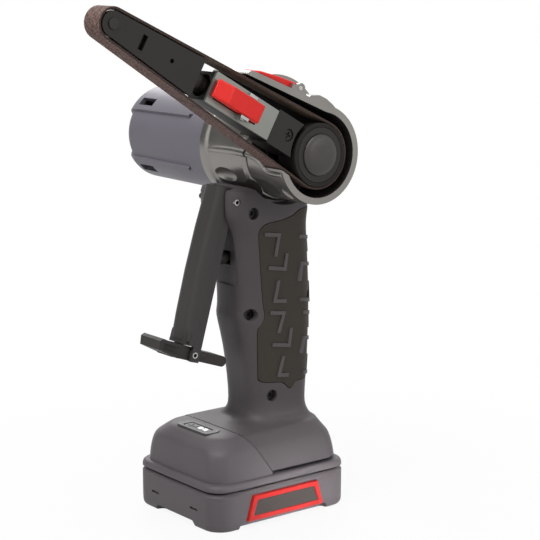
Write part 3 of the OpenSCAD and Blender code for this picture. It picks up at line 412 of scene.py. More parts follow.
cover = cover_form(0)
panel_end = -34.0
panel_cut = panel_wedge(cover_x0 - 5, panel_end, -12.2, 13.4)
cut(panel_cut, panel_wedge(panel_end - 3.2, panel_end, -14.2, 15), "UNION")
cut(panel_cut, cover_form(1.5))
cut(cover, panel_cut)
cut(cover, cover_form(2.4))
vent_x0, vent_x1 = -84.0, -72.0
wide_vents = [-46, 46]
for turn in wide_vents + list(range(90, 271, 30)):
    half = 2.3 if turn in wide_vents else 1.4
    vent = block(vent_x0, vent_x1, axis_y - 40, axis_y - 12, axis_z - half, axis_z + half)
    bpy.ops.object.mode_set(mode="EDIT")
    bpy.ops.mesh.select_all(action="SELECT")
    bpy.ops.transform.rotate(value=math.radians(-turn), orient_axis="X",
                             center_override=(0, axis_y * mm, axis_z * mm))
    bpy.ops.object.mode_set(mode="OBJECT")
    cut(cover, vent)
merged(cover)
eased(cover, 0.5, 3)
cover_grey = moulded("cover_nylon", seen(104, 101, 110), 0.5, 1500, 0.16, 0.05)
fit_out(cover, "motor_cover_shell", "handle", [cover_grey], ["motor_cover"])


# Gear casting: aluminium, die cast and bead blasted, turned at the flange that meets the
# motor cover. Scooped hollows lighten its lower front, and a keel stands in the handle.
def pick_front(obj):
    """Goes to edit mode with the faces selected that look along the barrel towards the belt."""
    unpicked(obj)
    for f in obj.data.polygons:
        f.select = f.normal.x > 0.9
    bpy.ops.object.mode_set(mode="EDIT")


casting_x0, casting_r, flange_r = -21.0, 24.8, 26.0
x_now, r_now = casting_x0 + 0.6, cover_r1
casting = bar_x(r_now, casting_x0, x_now, axis_y, axis_z, 128)
pick_front(casting)
for x_next, r_next in ((-20.0, flange_r), (-16.4, flange_r), (-15.2, 25.4), (-14.0, casting_r),
                       (11.5, casting_r), (13.2, 23.8), (14.0, 22.2)):
    bpy.ops.mesh.extrude_region_move(TRANSFORM_OT_translate={"value": ((x_next - x_now) * mm, 0, 0)})
    widened(r_next / r_now, x_next)
    r_now, x_now = r_next, x_next
bpy.ops.object.mode_set(mode="OBJECT")
keel = block(-7, 7, axis_y - 8, axis_y + 8, axis_z - 35, axis_z - 20)
neck = bar_x(13, 10, 17.6, axis_y, axis_z)
gear_room = bar_x(19.73, casting_x0 - 1, -6.7, axis_y, axis_z)
spindle_bore = bar_x(11.05, -10, 18, axis_y, axis_z)
for tool, way in ((keel, "UNION"), (neck, "UNION"), (gear_room, "DIFFERENCE"), (spindle_bore, "DIFFERENCE")):
    cut(casting, tool, way)


def hollow(x, turn, depth, length, width, deep):
    """An egg-shaped hollow, at a place along the barrel and an angle below level at the front."""
    away = math.radians(turn)
    radial = Vector((0, -math.cos(away), -math.sin(away)))
    place = Vector((x, axis_y, axis_z)) + radial * (casting_r + deep - depth)
    bpy.ops.object.select_all(action="DESELECT")
    bpy.ops.mesh.primitive_uv_sphere_add(segments=48, ring_count=24, radius=1, location=place * mm)
    egg = bpy.context.active_object
    egg.scale = (length * mm, width * mm, deep * mm)
    egg.rotation_euler = (math.radians(90 + turn), 0, 0)
    return settle(egg)


def round_barrel(turn, reach):
    """A place in the side view, at an angle above level at the front and a reach from the barrel's axis."""
    angle = math.radians(turn)
    return axis_y - reach * math.cos(angle), axis_z + reach * math.sin(angle)


def rib(points, radius):
    """A round rib through points, each a place along the barrel, an angle above level and a reach."""
    bpy.ops.object.select_all(action="DESELECT")
    bpy.ops.curve.primitive_nurbs_path_add()
    line = bpy.context.active_object
    spline = line.data.splines[0]
    spline.points.add(len(points) - len(spline.points))
    for knot, (x, turn, reach) in zip(spline.points, points):
        y, z = round_barrel(turn, reach)
        knot.co = (x * mm, y * mm, z * mm, 1)
    spline.order_u = 4
    spline.use_endpoint_u = True
    line.data.bevel_depth = radius * mm
    line.data.bevel_resolution = 5
    line.data.use_fill_caps = True
    only(line)
    bpy.ops.object.convert(target="MESH")
    return settle(merged(bpy.context.active_object))


bowl = (20.0, 44, 3.3, 13.0, 9.5, 5)
cut(casting, hollow(*bowl))
cut(casting, hollow(-4.5, 29, 2.2, 9.5, 4.6, 4))
waist_rib = [(-18.5, -3, 22.6), (-12, 0, 24.0), (-3, 1, 24.1), (7, 1.4, 24.1), (14, 0.2, 24.0)]
cut(casting, rib(waist_rib, 1.9), "UNION")
merged(casting)
eased(casting, 0.5, 3, 28)
cast_silver = moulded("cast_aluminium", seen(136, 133, 129), 0.3, 2400, 0.08, 0.07, metallic=0.75)
fit_out(casting, "gear_casting", "handle", [cast_silver], ["gear_housing"])


# Handle: two halves of glass-filled nylon, split down the middle and held by three screws.
# The foot spreads over the battery, and the head cradles the casting and the paddle's pivot.
def outline_ring(z, half_x, front, rear, corner):
    """In edit mode, adds one level outline with rounded corners, in mm."""
    middle = (0, (front + rear) / 2 * mm, z * mm)
    bpy.ops.mesh.primitive_plane_add(size=1, location=middle)
    bpy.ops.transform.resize(value=(2 * half_x * mm, (rear - front) * mm, 1), center_override=middle)
    bpy.ops.mesh.bevel(offset=corner * mm, segments=6, affect="VERTICES")
    bpy.ops.mesh.delete(type="ONLY_FACE")


def lofted(rings, inset=0.0, smooth=1):
    """A closed form through level outlines, given as height, half width, front, rear and corner radius."""
    bpy.ops.object.select_all(action="DESELECT")
    bpy.ops.mesh.primitive_plane_add(size=mm)
    form = bpy.context.active_object
    bpy.ops.object.mode_set(mode="EDIT")
    bpy.ops.mesh.select_all(action="SELECT")
    bpy.ops.mesh.delete(type="VERT")
    for z, half_x, front, rear, corner in rings:
        outline_ring(z, half_x - inset, front + inset, rear - inset, max(corner - inset, 1))
    bpy.ops.mesh.select_all(action="SELECT")
    bpy.ops.mesh.bridge_edge_loops(type="SINGLE")
    bpy.ops.mesh.select_all(action="SELECT")
    bpy.ops.mesh.fill_holes(sides=0)
    bpy.ops.mesh.select_all(action="SELECT")
    bpy.ops.mesh.normals_make_consistent(inside=False)
    bpy.ops.object.mode_set(mode="OBJECT")
    if smooth:
        step = form.modifiers.new("smooth", "SUBSURF")
        step.levels = smooth
        step.render_levels = smooth
        bpy.ops.object.modifier_apply(modifier=step.name)
    return settle(form)


def prism_x(points, x0, x1):
    """A flat outline of points in the side view, drawn out along X, in mm."""
    bpy.ops.object.select_all(action="DESELECT")
    bpy.ops.mesh.primitive_circle_add(vertices=len(points), radius=mm, fill_type="NGON")
    slab = bpy.context.active_object
    for v, (y, z) in zip(slab.data.vertices, points):
        v.co = (x0 * mm, y * mm, z * mm)
    bpy.ops.object.mode_set(mode="EDIT")
    bpy.ops.mesh.select_all(action="SELECT")
    bpy.ops.mesh.extrude_region_move(TRANSFORM_OT_translate={"value": ((x1 - x0) * mm, 0, 0)})
    bpy.ops.mesh.select_all(action="SELECT")
    bpy.ops.mesh.normals_make_consistent(inside=False)
    bpy.ops.object.mode_set(mode="OBJECT")
    return slab


hump_rings = [(23.8, 31.5, -38.75, 38.75, 10.5), (24.4, 31.5, -38.75, 38.75, 10.5),
              (28.8, 31.3, -38.6, 38.3, 10.8), (34, 30.7, -38, 37.4, 11.5), (37.2, 29.9, -37.2, 36.6, 12),
              (39.2, 28, -35.3, 35.6, 13), (41.4, 25.6, -33, 34.9, 13), (42.6, 24, -31.4, 34.5, 12.5),
              (43, 22.6, -29.9, 34.3, 11.5)]
fillet_rings = [(43.3, 19.6, -6.4, 34.2, 11.5), (44.8, 17.4, -4.2, 33.9, 11), (47.4, 15.8, -2.7, 33.3, 10.6)]
grip_rings = [(51, 15.1, -2.2, 32.9, 10.5), (62, 15.0, -3.0, 34.0, 10.5), (80, 15.5, -5.8, 35.1, 11.5),
              (93, 15.8, -9.6, 35.6, 12.2), (97, 15.8, -10.4, 35.8, 12.4), (100, 15.8, -9.3, 35.9, 12.6),
              (110, 15.8, -10, 36, 13), (128, 16, -11, 34.8, 13), (137, 16.1, -12.2, 33.7, 12.4)]
head_rings = [(142, 16.3, -14, 32.9, 11), (145.5, 16.4, -15.7, 32.3, 8.6), (149, 16.4, -16, 32, 7.5),
              (158, 16.4, -16, 31.2, 7.5), (160, 16.4, -16, 31, 7.5)]
rubber_foot = [(0.5, 65.4), (1.4, 64.4), (3.4, 63.8), (13, 62.7), (15.4, 61.2), (17.4, 59.2),
               (18.6, 58.6), (20, 59.2), (22, 61.4), (24, 62), (60, 62)]
rubber_head = [(60, 148), (27, 148), (23, 147), (19, 144.6), (14, 143.2), (4, 142.2),
               (1.4, 141.4), (-0.6, 139.8), (-1.6, 137.4)]
rubber_front = [(-0.3, 122), (1.2, 104), (2.2, 98), (1.9, 95.6), (0.4, 93.2), (-1.1, 91.8), (-1.3, 89)]
screw_spots = [(-4.9, 147.8, 12.4), (-4.2, 98.1, 9), (7.3, 56.6, 11)]
pivot = (-13.2, 153.7)


def rubber_prism(grow):
    """The zone of the grip that the rubber covers, grown a little for the groove round it."""
    middle_y, middle_z = 25, 103
    return prism_x([(y + math.copysign(grow, y - middle_y), z + math.copysign(grow, z - middle_z))
                    for y, z in rubber_foot + rubber_head + rubber_front], -40, 40)


def seam_front(gap):
    """The space in front of the seam between the battery's hump and the handle's foot."""
    low_y, high_y = -5 - gap, -18 - gap
    return prism_x([(-80, 10), (low_y, 10), (low_y, 23.8), (high_y, 43), (high_y, 60), (-80, 60)], -60, 60)


handle = lofted(hump_rings + fillet_rings + grip_rings + head_rings)
cut(handle, seam_front(-0.15))
groove = rubber_prism(0.3)
cut(groove, lofted(grip_rings + head_rings, 1.6))
casting_seat = bar_x(flange_r + 0.3, -40, 60, axis_y, axis_z, 128)
paddle_slot = block(-8.3, 8.3, -60, -9.2, 112, 175)
inner_room = lofted([(46, 15, -1.5, 32.5, 10.5)] + grip_rings + [(142, 16.3, -12.4, 32.9, 11)], 3.6)
rail_throat = block(-17.5, 17.5, -60, 29, 20, 38)
rail_grooves = block(-20.5, 20.5, -60, 29, 27.7, 38)
pin_bore = bar_x(1.53, -40, 40, *pivot, 32)
plunger_window = block(-3.3, 3.3, -30, 0, 121.7, 128.3)
for tool in (groove, casting_seat, paddle_slot, inner_room, rail_throat, rail_grooves, pin_bore,
             plunger_window):
    cut(handle, tool)
handle_nylon = moulded("handle_nylon", seen(78, 73, 75), 0.52, 1500, 0.2, 0.06, spec=0.3)
for side, label in ((1, "left"), (-1, "right")):
    half = copy_of(handle)
    cut(half, block(*sorted((0, side * 60)), -80, 80, 0, 200), "INTERSECT")
    if side > 0:
        for y, z, seat in screw_spots:
            cut(half, bar_x(2.95, seat, 40, y, z, 48))
    merged(half)
    eased(half, 0.4, 2, 34)
    fit_out(half, "handle_shell_" + label, "handle", [handle_nylon], ["handle_" + label])
bpy.data.objects.remove(handle)


# Grip skin: soft rubber moulded over the handle's back, flush with the nylon, with raised
# angle marks in two staggered rows on each side and a small hole for a strap at the back.
rubber_skin = lofted(grip_rings + head_rings, -0.1)
cut(rubber_skin, rubber_prism(0), "INTERSECT")
cut(rubber_skin, lofted(grip_rings + head_rings, 1.55))
for y, z, seat in screw_spots:
    cut(rubber_skin, bar_x(4.6, -40, 40, y, z, 48))
strap_hole = Vector((12.2, 31.6, 103))
bpy.ops.object.select_all(action="DESELECT")
bpy.ops.mesh.primitive_uv_sphere_add(segments=32, ring_count=16, radius=2.9 * mm, location=strap_hole * mm)
cut(rubber_skin, settle(bpy.context.active_object))
merged(rubber_skin)
eased(rubber_skin, 0.45, 2, 34)
grip_rubber = moulded("grip_rubber", seen(60, 55, 49), 0.66, 900, 0.22, 0.08, spec=0.25)
fit_out(rubber_skin, "grip_skin", "handle", [grip_rubber], ["grip_rubber"])

mark_grey = moulded("grip_mark_grey", seen(88, 82, 83), 0.55, 1200, 0.15, 0.05, spec=0.3)


def angle_mark(corner, ends, turn, side):
    """One raised angle mark: two strokes from a corner in the side view, turned about the grip's rear."""
    half = 0.9
    strokes = []
    for y, z in ends:
        along = (Vector((y, z)) - Vector(corner)).normalized()
        across = Vector((-along.y, along.x))
        start = Vector(corner) - along * half
        end = Vector((y, z))
        points = [start - across * half, end - across * half, end + across * half, start + across * half]
        strokes.append(prism_x([tuple(p) for p in points], 6, 30))
    mark = cut(strokes[0], strokes[1], "UNION")
    only(mark)
    bpy.ops.object.mode_set(mode="EDIT")
    bpy.ops.mesh.select_all(action="SELECT")
    if turn:
        bpy.ops.transform.rotate(value=math.radians(-turn), orient_axis="Z",
                                 center_override=(4 * mm, 23 * mm, 0))
    if side < 0:
        bpy.ops.transform.resize(value=(-1, 1, 1), center_override=(0, 0, 0))
        bpy.ops.mesh.flip_normals()
    bpy.ops.object.mode_set(mode="OBJECT")
    return mark


side_marks = [((10.2, 136), ((1.5, 137.2), (8.2, 125.8))), ((14, 119), ((15.2, 126.5), (4, 120.6))),
              ((7.9, 103.9), ((10.3, 113.8), (15, 103))), ((13.5, 97.2), ((5.2, 98.4), (10.4, 87.6))),
              ((17, 80.6), ((18.2, 89.2), (6.8, 82.3))), ((11.1, 66.4), ((13.7, 75.6), (16.9, 65.6)))]
rear_marks = [((30, 131.6), ((16, 134), (30, 124.4))), ((18, 120.4), ((32, 117.8), (16.4, 111.8))),
              ((30, 100), ((17, 102.6), (30.6, 109.5))), ((31, 93.5), ((19, 95.9), (30, 86))),
              ((20, 82.8), ((30, 80.8), (18, 75.3))), ((29.4, 63.6), ((20, 65.4), (29.6, 72.5)))]
mark_skin = lofted(grip_rings + head_rings, -0.75)
for side, label in ((1, "left"), (-1, "right")):
    marks = None
    for row, turn in ((side_marks, 0), (rear_marks, 34)):
        for corner, ends in row:
            mark = angle_mark(corner, ends, turn, side)
            marks = cut(marks, mark, "UNION") if marks else mark
    cut(marks, copy_of(mark_skin), "INTERSECT")
    cut(marks, lofted(grip_rings + head_rings, 0.8))
    merged(marks)
    eased(marks, 0.3, 2, 34)
    fit_out(marks, "grip_marks_" + label, "handle", [mark_grey])
bpy.data.objects.remove(mark_skin)


# Battery, lower case: black-grey nylon tray with feet at its corners, arched between them,
# two slots in the front and a window in each side for the release button.
battery_nylon = moulded("battery_nylon", seen(86, 81, 84), 0.5, 1500, 0.2, 0.06, spec=0.3)
tray = lofted([(0, 32.4, -39.6, 39.6, 9), (0.3, 33, -40.2, 40.2, 9.4), (1.2, 33.7, -40.9, 40.9, 9.8),
               (2.6, 34, -41.25, 41.25, 10), (10, 34, -41.25, 41.25, 10), (18.9, 34, -41.25, 41.25, 10),
               (19.2, 34, -41.25, 41.25, 10)])
release_form = [(-23.3, 3.7), (23.3, 3.7), (19.8, 16.3), (-19.8, 16.3)]
for side in (-1, 1):
    end_arch = block(-16, 16, *sorted((side * 36.25, side * 60)), -5, 3.2)
    cut(tray, eased(end_arch, 2.4, 4))
    side_arch = block(*sorted((side * 29, side * 60)), -27, 27, -5, 3.2)
    cut(tray, eased(side_arch, 2.4, 4))
    cut(tray, block(side * 16 - 3, side * 16 + 3, -60, -40.2, 8.6, 9.8))
    cut(tray, prism_x(release_form, *sorted((side * 28.6, side * 60))))
merged(tray)
eased(tray, 0.35, 2, 34)
fit_out(tray, "battery_tray", "battery", [battery_nylon], ["battery_lower"])


# Battery, upper case: a lid with a rolled edge, the hump at the front that carries on the
# handle's foot, and the rail block that slides into the foot.
lid = lofted([(19.55, 34, -41.25, 41.25, 10), (19.8, 34, -41.25, 41.25, 10),
              (21.4, 34, -41.25, 41.25, 10), (22.5, 33.6, -40.85, 40.85, 9.8),
              (23.2, 32.7, -39.95, 39.95, 9.4), (23.4, 31.6, -38.9, 38.9, 9)])
hump = lofted([(20, 31.5, -38.75, 38.75, 10.5)] + hump_rings + [(43.02, 20, -27, 30, 10)])
cut(hump, seam_front(0.15), "INTERSECT")
rail_neck = block(-17, 17, -19, 26, 22, 31)
rail_head = block(-20, 20, -19, 26, 28, 31)
for form in (hump, rail_neck, rail_head):
    cut(lid, form, "UNION")
for x in (-6, -2, 2, 6):
    cut(lid, block(x - 1, x + 1, 9, 27, 25, 32))
gauge_y = -26.5


def slot_form(width, depth, corner, z0, z1):
    """An upright bar with a rounded outline, at the gauge's place on the hump."""
    return lofted([(z0, width / 2, gauge_y - depth / 2, gauge_y + depth / 2, corner),
                   (z1, width / 2, gauge_y - depth / 2, gauge_y + depth / 2, corner)], smooth=0)


cut(lid, slot_form(26.2, 9.6, 3, 41.6, 50))
cut(lid, slot_form(18, 6, 1.5, 37, 50))
merged(lid)
eased(lid, 0.4, 2, 34)
fit_out(lid, "battery_lid", "battery", [battery_nylon], ["battery_upper"])


# Belt guard: drum and wing cast in one, blasted bright outside, with its inner faces that look at the belt
# coloured near black. It turns on the casting's neck, so that the arm can be set at another angle.
def softened(node, width, steps=2, angle=30):
    """A copy of a CAD node with its flat faces joined and its sharp edges rounded, in mm."""
    twin = copy_of(frame["nodes"][node])
    twin.parent = None
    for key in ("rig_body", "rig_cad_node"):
        del twin[key]
    only(twin)
    bpy.ops.mesh.customdata_custom_splitnormals_clear()
    bpy.ops.object.mode_set(mode="EDIT")
    bpy.ops.mesh.select_all(action="SELECT")
    bpy.ops.mesh.remove_doubles(threshold=0.000001)
    bpy.ops.mesh.dissolve_limited(angle_limit=math.radians(1.5))
    bpy.ops.mesh.normals_make_consistent(inside=False)
    bpy.ops.object.mode_set(mode="OBJECT")
    return eased(twin, width, steps, angle)


def paint(obj, index, rule):
    """Gives the faces that a rule picks another of the piece's materials."""
    for face in obj.data.polygons:
        if rule(face):
            face.material_index = index


arm_tilt = math.radians(29.7)


def in_arm(point):
    """A point in the arm's own frame, in mm: along the barrel, along the arm and across it."""
    y, z = point.y / mm - axis_y, point.z / mm - axis_z
    return (point.x / mm, z * math.sin(arm_tilt) - y * math.cos(arm_tilt),
            y * math.sin(arm_tilt) + z * math.cos(arm_tilt))


guard_floor, guard_rim, guard_r = 17.3, 40.0, 20.2


def inside_guard(face):
    """True for the faces of the guard that look at the belt."""
    x, u, v = in_arm(face.center)
    wing_line = guard_r * 0.94 - (u - guard_r * 0.4) * 0.115
    near = math.hypot(u, v) < guard_r + 0.35 or (u > guard_r * 0.4 and 0 < v < wing_line + 0.3)
    return near and guard_floor - 0.4 < x < guard_rim - 0.15


guard = softened("belt_guard", 0.8, 3)
lip_wall = []
for reach, turns in ((guard_r + 0.1, range(-20, -2, 2)), (guard_r + 3.1, range(-4, -22, -2))):
    for turn in turns:
        lip_wall.append(round_barrel(turn, reach))
cut(guard, prism_x(lip_wall, 15, 26.2), "UNION")
cut(guard, hollow(*bowl))
cut(guard, hollow(35.0, 50, 2.8, 3.4, 8.0, 4.5))
lip_rib = [(14.5, 0, 23.5), (19.5, -2, 23.3), (24.3, -6, 22.9), (25.4, -13, 22.9), (28.6, -18.8, 22.8),
           (33, -19.6, 22.7), (39, -19.6, 22.6)]
cut(guard, rib(lip_rib, 1.6), "UNION")
merged(guard, 0.00004)
eased(guard, 0.2, 2, 40)
bpy.ops.object.shade_smooth_by_angle(angle=math.radians(24))
# Near-black colour for the guard's inner faces, the ones that look at the belt.
guard_inside_near_black = moulded("guard_black", seen(36, 33, 31), 0.55, 1800, 0.12, 0.08, spec=0.3)
fit_out(guard, "belt_guard_shell", "belt_head", [cast_silver, guard_inside_near_black], ["belt_guard"])
paint(guard, 1, inside_guard)


# Pulley: turned core with a rubber tyre that grips the belt, closed by a pressed cap with a
# low dome. All three turn with the gearbox spindle.
pulley_black = moulded("pulley_black", seen(38, 35, 32), 0.5, 2000, 0.1, 0.06, spec=0.3)
tyre_rubber = moulded("tyre_rubber", seen(40, 37, 35), 0.7, 1300, 0.2, 0.06, spec=0.2)
cap_grey = moulded("cap_grey", seen(55, 51, 48), 0.42, 2200, 0.08, 0.05)
core = softened("drive_pulley", 0.4)
fit_out(core, "pulley_core", "drive", [pulley_black], ["drive_pulley"])
fit_out(softened("pulley_tyre", 0.4), "pulley_grip", "drive", [tyre_rubber], ["pulley_tyre"])
cap = bar_x(9.8, 38.4, 40.4, axis_y, axis_z)
pick_front(cap)
share_now = 1.0
for share, rise in ((0.94, 0.75), (0.86, 0.5), (0.72, 0.42), (0.5, 0.24), (0.25, 0.1)):
    bpy.ops.mesh.inset(thickness=0.0001)
    bpy.ops.transform.translate(value=(rise * mm, 0, 0))
    widened(share / share_now, 0)
    share_now = share
bpy.ops.object.mode_set(mode="OBJECT")
merged(cap)
eased(cap, 0.2, 2, 40)
fit_out(cap, "pulley_cap", "drive", [cap_grey], ["hub_cap"])


# Sanding belt: brown grit on cloth, a closed loop 12 mm wide, with a slanted splice. The grit
# looks outwards, and the cloth runs on the tyre and the idler.
def grit_material():
    """Brown abrasive grains with a darker splice line across the belt."""
    mat = moulded("belt_grit", seen(108, 88, 83), 0.85, 2600, 0.9, 0.16, spec=0.2)
    nodes, links = mat.node_tree.nodes, mat.node_tree.links
    place = nodes.new("ShaderNodeTexCoord")
    lean = nodes.new("ShaderNodeVectorMath")
    lean.operation = "DOT_PRODUCT"
    lean.inputs[1].default_value = (0.7, -math.cos(arm_tilt), math.sin(arm_tilt))
    links.new(place.outputs["Object"], lean.inputs[0])
    line = nodes.new("ShaderNodeMath")
    line.operation = "COMPARE"
    line.inputs[1].default_value = 0.175
    line.inputs[2].default_value = 0.0006
    links.new(lean.outputs["Value"], line.inputs[0])
    blend = nodes.new("ShaderNodeMix")
    blend.data_type = "RGBA"
    blend.inputs["B"].default_value = seen(58, 46, 42)
    links.new(line.outputs["Value"], blend.inputs["Factor"])
    speck = nodes.new("ShaderNodeTexNoise")
    speck.inputs["Scale"].default_value = 1300
    speck.inputs["Detail"].default_value = 1
    links.new(place.outputs["Object"], speck.inputs["Vector"])
    contrast = nodes.new("ShaderNodeMapRange")
    contrast.inputs["From Min"].default_value = 0.36
    contrast.inputs["From Max"].default_value = 0.64
    contrast.inputs["To Min"].default_value = 0.5
    contrast.inputs["To Max"].default_value = 1.5
    links.new(speck.outputs["Fac"], contrast.inputs["Value"])
    grains = next(n for n in nodes if n.type == "GROUP")
    speckled = nodes.new("ShaderNodeHueSaturation")
    links.new(grains.outputs["Colour"], speckled.inputs["Color"])
    links.new(contrast.outputs["Result"], speckled.inputs["Value"])
    links.new(speckled.outputs["Color"], blend.inputs["A"])
    links.new(blend.outputs["Result"], nodes["Principled BSDF"].inputs["Base Color"])
    return mat


belt_far = 130.0


def belt_side(face):
    """1 for the cloth inside, 2 for the cut edges and 0 for the grit."""
    if abs(face.normal.x) > 0.7:
        return 2
    x, u, v = in_arm(face.center)
    nx, nu, nv = (a - b for a, b in zip(in_arm(face.center + face.normal * mm), (x, u, v)))
    near_u = min(max(u, 0), belt_far)
    return 0 if (u - near_u) * nu + v * nv > 0 else 1


belt = softened("belt", 0.2)
belt_cloth = moulded("belt_cloth", seen(120, 104, 92), 0.9, 1000, 0.4, 0.08, spec=0.2)
belt_edge = moulded("belt_edge", seen(72, 60, 56), 0.85, 2600, 0.3, 0.1, spec=0.2)
fit_out(belt, "sanding_belt", "belt_head", [grit_material(), belt_cloth, belt_edge], ["belt"])
for f in belt.data.polygons:
    f.material_index = belt_side(f)


# Arm: a black block screwed to the guard, a bent steel bracket that carries the tension lever,
# and a sliding tip whose rod is pushed out by the spring in the block. The idler turns in the tip.
arm_black = moulded("arm_black", seen(32, 29, 26), 0.5, 1800, 0.14, 0.06, spec=0.3)
plate_steel = moulded("bracket_steel", seen(138, 140, 134), 0.36, 2600, 0.05, 0.05, metallic=0.6)
screw_dark = moulded("screw_dark", seen(44, 42, 41), 0.35, 2600, 0.05, 0.05, metallic=0.7)
bright_steel = moulded("bright_steel", seen(176, 176, 172), 0.28, 2800, 0.04, 0.04, metallic=0.9)
fit_out(softened("arm_block", 0.4), "arm_block_body", "belt_head", [arm_black], ["arm_block"])
fit_out(softened("block_screw", 0.15), "arm_screw", "belt_head", [screw_dark], ["block_screw"])
bracket = softened("arm_bracket", 0.25)
fit_out(bracket, "bracket_plate", "belt_head", [plate_steel, bright_steel], ["arm_bracket"])
# The bracket is one steel piece: its faces past x = 39.5 mm get the brighter steel, a painted highlight.
bracket_highlight_x = 39.3
paint(bracket, 1, lambda face: face.center.x / mm > bracket_highlight_x + 0.2)
fit_out(softened("lever_pin", 0.2), "tension_pin", "belt_head", [bright_steel], ["lever_pin"])
fit_out(softened("arm_tip", 0.35), "arm_tip_fork", "arm_tip", [arm_black], ["arm_tip"])
fit_out(softened("slide_rod", 0.6), "arm_rod", "arm_tip", [arm_black], ["slide_rod"])
fit_out(softened("tip_axle", 0.2), "idler_axle", "arm_tip", [screw_dark], ["tip_axle"])
fit_out(softened("tip_roller", 0.4), "idler_roller", "idler", [bright_steel], ["tip_roller"])


# Red levers: glossy nylon on steel pins, moulded with round edges. One lets the belt off, the
# other stands on the guard.
def rubbed(node, grain, passes):
    """A copy of a CAD node rubbed round at all its edges, in even steps of a grain in mm."""
    lever = softened(node, 0.1)
    step = lever.modifiers.new("grain", "REMESH")
    step.mode = "VOXEL"
    step.voxel_size = grain * mm
    bpy.ops.object.modifier_apply(modifier=step.name)
    step = lever.modifiers.new("rub", "SMOOTH")
    step.factor = 0.5
    step.iterations = passes
    bpy.ops.object.modifier_apply(modifier=step.name)
    bpy.ops.object.shade_smooth()
    return lever


red_gloss = moulded("lever_red", seen(240, 36, 28), 0.4, 1800, 0.05, 0.03, coat=0.1, spec=0.3)
for lever_name, passes in (("tension_lever", 12), ("top_lever", 9)):
    lever = rubbed(lever_name, 0.3, passes)
    fit_out(lever, lever_name + "_bar", lever_name, [red_gloss], [lever_name])
fit_out(softened("top_lever_pin", 0.2), "top_pin", "belt_head", [bright_steel], ["top_lever_pin"])


# Paddle and its lock: a black channel hung from a roll pin in the handle's head, with a lock
# lever on a second roll pin at its foot that has to be turned before the paddle goes in.
paddle_black = moulded("paddle_black", seen(57, 54, 53), 0.5, 1500, 0.14, 0.05, spec=0.3)
lock_black = moulded("lock_black", seen(46, 42, 39), 0.5, 1500, 0.14, 0.05, spec=0.3)
lock = softened("lock_lever", 0.7, 3)
paddle_lean, lock_slope, paddle_len = math.radians(16), math.radians(19), 75.0
lock_pivot = (pivot[0] - paddle_len * math.sin(paddle_lean), pivot[1] - paddle_len * math.cos(paddle_lean))


def from_lock(ahead, up):
    """A place in the side view, given ahead of the lock's pin and above it in the lever's own slope."""
    return (lock_pivot[0] - ahead * math.cos(lock_slope) + up * math.sin(lock_slope),
            lock_pivot[1] + ahead * math.sin(lock_slope) + up * math.cos(lock_slope))


pocket = [from_lock(8, -1.8), from_lock(19.2, -0.4), from_lock(19.2, 2.4), from_lock(8, 2.0)]
for side in (-1, 1):
    cut(lock, prism_x(pocket, *sorted((side * 6.2, side * 12))))
merged(lock)
eased(lock, 0.2, 2, 40)
paddle = softened("paddle", 0.7, 3, 50)
web_low, web_high = 3.8, 10
for x0, x1, rear, front in ((-6.2, 6.2, 4.4, 6.6), (-7.9, -6.1, 0, 4.6), (6.1, 7.9, 0, 4.6)):
    spots = (rear, web_low), (front, web_low), (front, web_high), (rear, web_high)
    cut(paddle, prism_x([from_lock(*spot) for spot in spots], x0, x1), "UNION")
bpy.ops.object.shade_smooth_by_angle(angle=math.radians(50))
fit_out(paddle, "paddle_bar", "paddle", [paddle_black], ["paddle"])
fit_out(lock, "lock_tongue", "lock", [lock_black], ["lock_lever"])
# The roll pin is split at the handle's middle and its far half gets the dark steel: painted shade for the
# end that stands in shadow beyond the paddle.
paddle_pin = softened("paddle_pin", 0.15)
bpy.ops.object.mode_set(mode="EDIT")
bpy.ops.mesh.select_all(action="SELECT")
bpy.ops.mesh.bisect(plane_co=(0, 0, 0), plane_no=(1, 0, 0))
bpy.ops.object.mode_set(mode="OBJECT")
fit_out(paddle_pin, "paddle_roll_pin", "handle", [bright_steel, screw_dark], ["paddle_pin"])
paint(paddle_pin, 1, lambda face: face.center.x < 0)
fit_out(softened("lock_pin", 0.15), "lock_roll_pin", "paddle", [bright_steel], ["lock_pin"])


# Switch plunger and handle screws: the black button that the paddle pushes in, and three dark
# socket screws that are sunk in the left half and clamp the handle together.
plunger = softened("switch_plunger", 0.4)
fit_out(plunger, "switch_button", "plunger", [lock_black], ["switch_plunger"])
fit_out(softened("handle_screws", 0.2), "grip_screws", "handle", [screw_dark], ["handle_screws"])


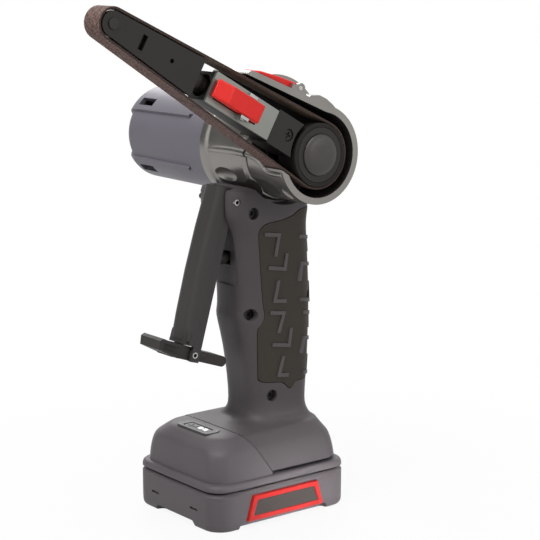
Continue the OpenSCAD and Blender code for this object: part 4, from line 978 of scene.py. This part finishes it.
# Battery fittings: red release frames with a dark inset, and the charge gauge, a glossy push
# bar in a black frame with four lamps, two of them lit.
release_red = moulded("release_red", seen(176, 26, 22), 0.45, 1800, 0.05, 0.03, spec=0.3)
inset_dark = moulded("release_inset", seen(36, 27, 22), 0.6, 1500, 0.15, 0.05)
gauge_black = moulded("gauge_black", seen(34, 31, 31), 0.3, 2000, 0.06, 0.03)
for label in ("left", "right"):
    button, panel = "release_" + label, "release_panel_" + label
    fit_out(softened(button, 0.8, 4), "release_frame_" + label, button, [release_red], [button])
    fit_out(softened(panel, 0.2), "release_inset_" + label, button, [inset_dark], [panel])
bezel = softened("gauge_frame", 0.35, 3)
fit_out(bezel, "gauge_bezel", "battery", [gauge_black], ["gauge_frame"])
push_bar = softened("gauge_button", 0.3, 3)
fit_out(push_bar, "gauge_push", "gauge_button", [gauge_black], ["gauge_button"])
lamp_dark = moulded("lamp_dark", seen(70, 68, 68), 0.35, 2000, 0.04, 0.03)
lamp_lit = moulded("lamp_lit", seen(240, 240, 240), 0.3, 2000, 0.04, 0.02)
lamp_glow = lamp_lit.node_tree.nodes["Principled BSDF"]
lamp_glow.inputs["Emission Color"].default_value = (1, 1, 1, 1)
lamp_glow.inputs["Emission Strength"].default_value = 0.7
lamp_bar = block(-1.2, 1.2, gauge_y - 1.1, gauge_y + 1.1, 42.9, 43.5)
eased(lamp_bar, 0.2)
lamp_pitch = 3.9
for k in range(4):
    bar = copy_of(lamp_bar)
    bar.location.x = (k - 1.5) * lamp_pitch * mm
    settle(bar)
    fit_out(bar, f"gauge_lamp_{k}", "gauge_button", [lamp_lit if k > 1 else lamp_dark])
bpy.data.objects.remove(lamp_bar)


# Inside the covers: motor, gears, switch, boards, leads and cells stay as the CAD made them and
# only get their finishes.
turned_steel = moulded("turned_steel", seen(150, 150, 146), 0.32, 2600, 0.05, 0.05, metallic=0.85)
wound_copper = moulded("wound_copper", seen(186, 110, 64), 0.35, 900, 0.3, 0.06, metallic=0.8)
board_green = moulded("board_green", seen(34, 84, 46), 0.45, 1200, 0.08, 0.08)
cell_wrap = moulded("cell_wrap", seen(52, 116, 140), 0.4, 1600, 0.05, 0.04)
lead_red = moulded("lead_red", seen(190, 44, 38), 0.5, 1600, 0.05, 0.04)
for mat, slot_name, names in (
        (turned_steel, "steel", ("motor_can", "rear_bearing", "ring_gear", "spindle_bearing", "neck_clip",
                                 "motor_plate", "housing_screws", "carrier", "motor_shaft", "sun_pinion",
                                 "planet_a", "planet_b", "planet_c", "tension_spring")),
        (wound_copper, "copper", ("armature", "commutator")),
        (arm_black, "black_parts", ("magnets", "end_bell", "fan", "switch_body", "terminal_block")),
        (board_green, "board", ("control_board", "battery_board")),
        (cell_wrap, "cell_wrap", ("cells",)),
        (lead_red, "red", ("leads",))):
    for name in names:
        node = frame["nodes"][name]
        node.data.materials.clear()
        node.data.materials.append(mat)
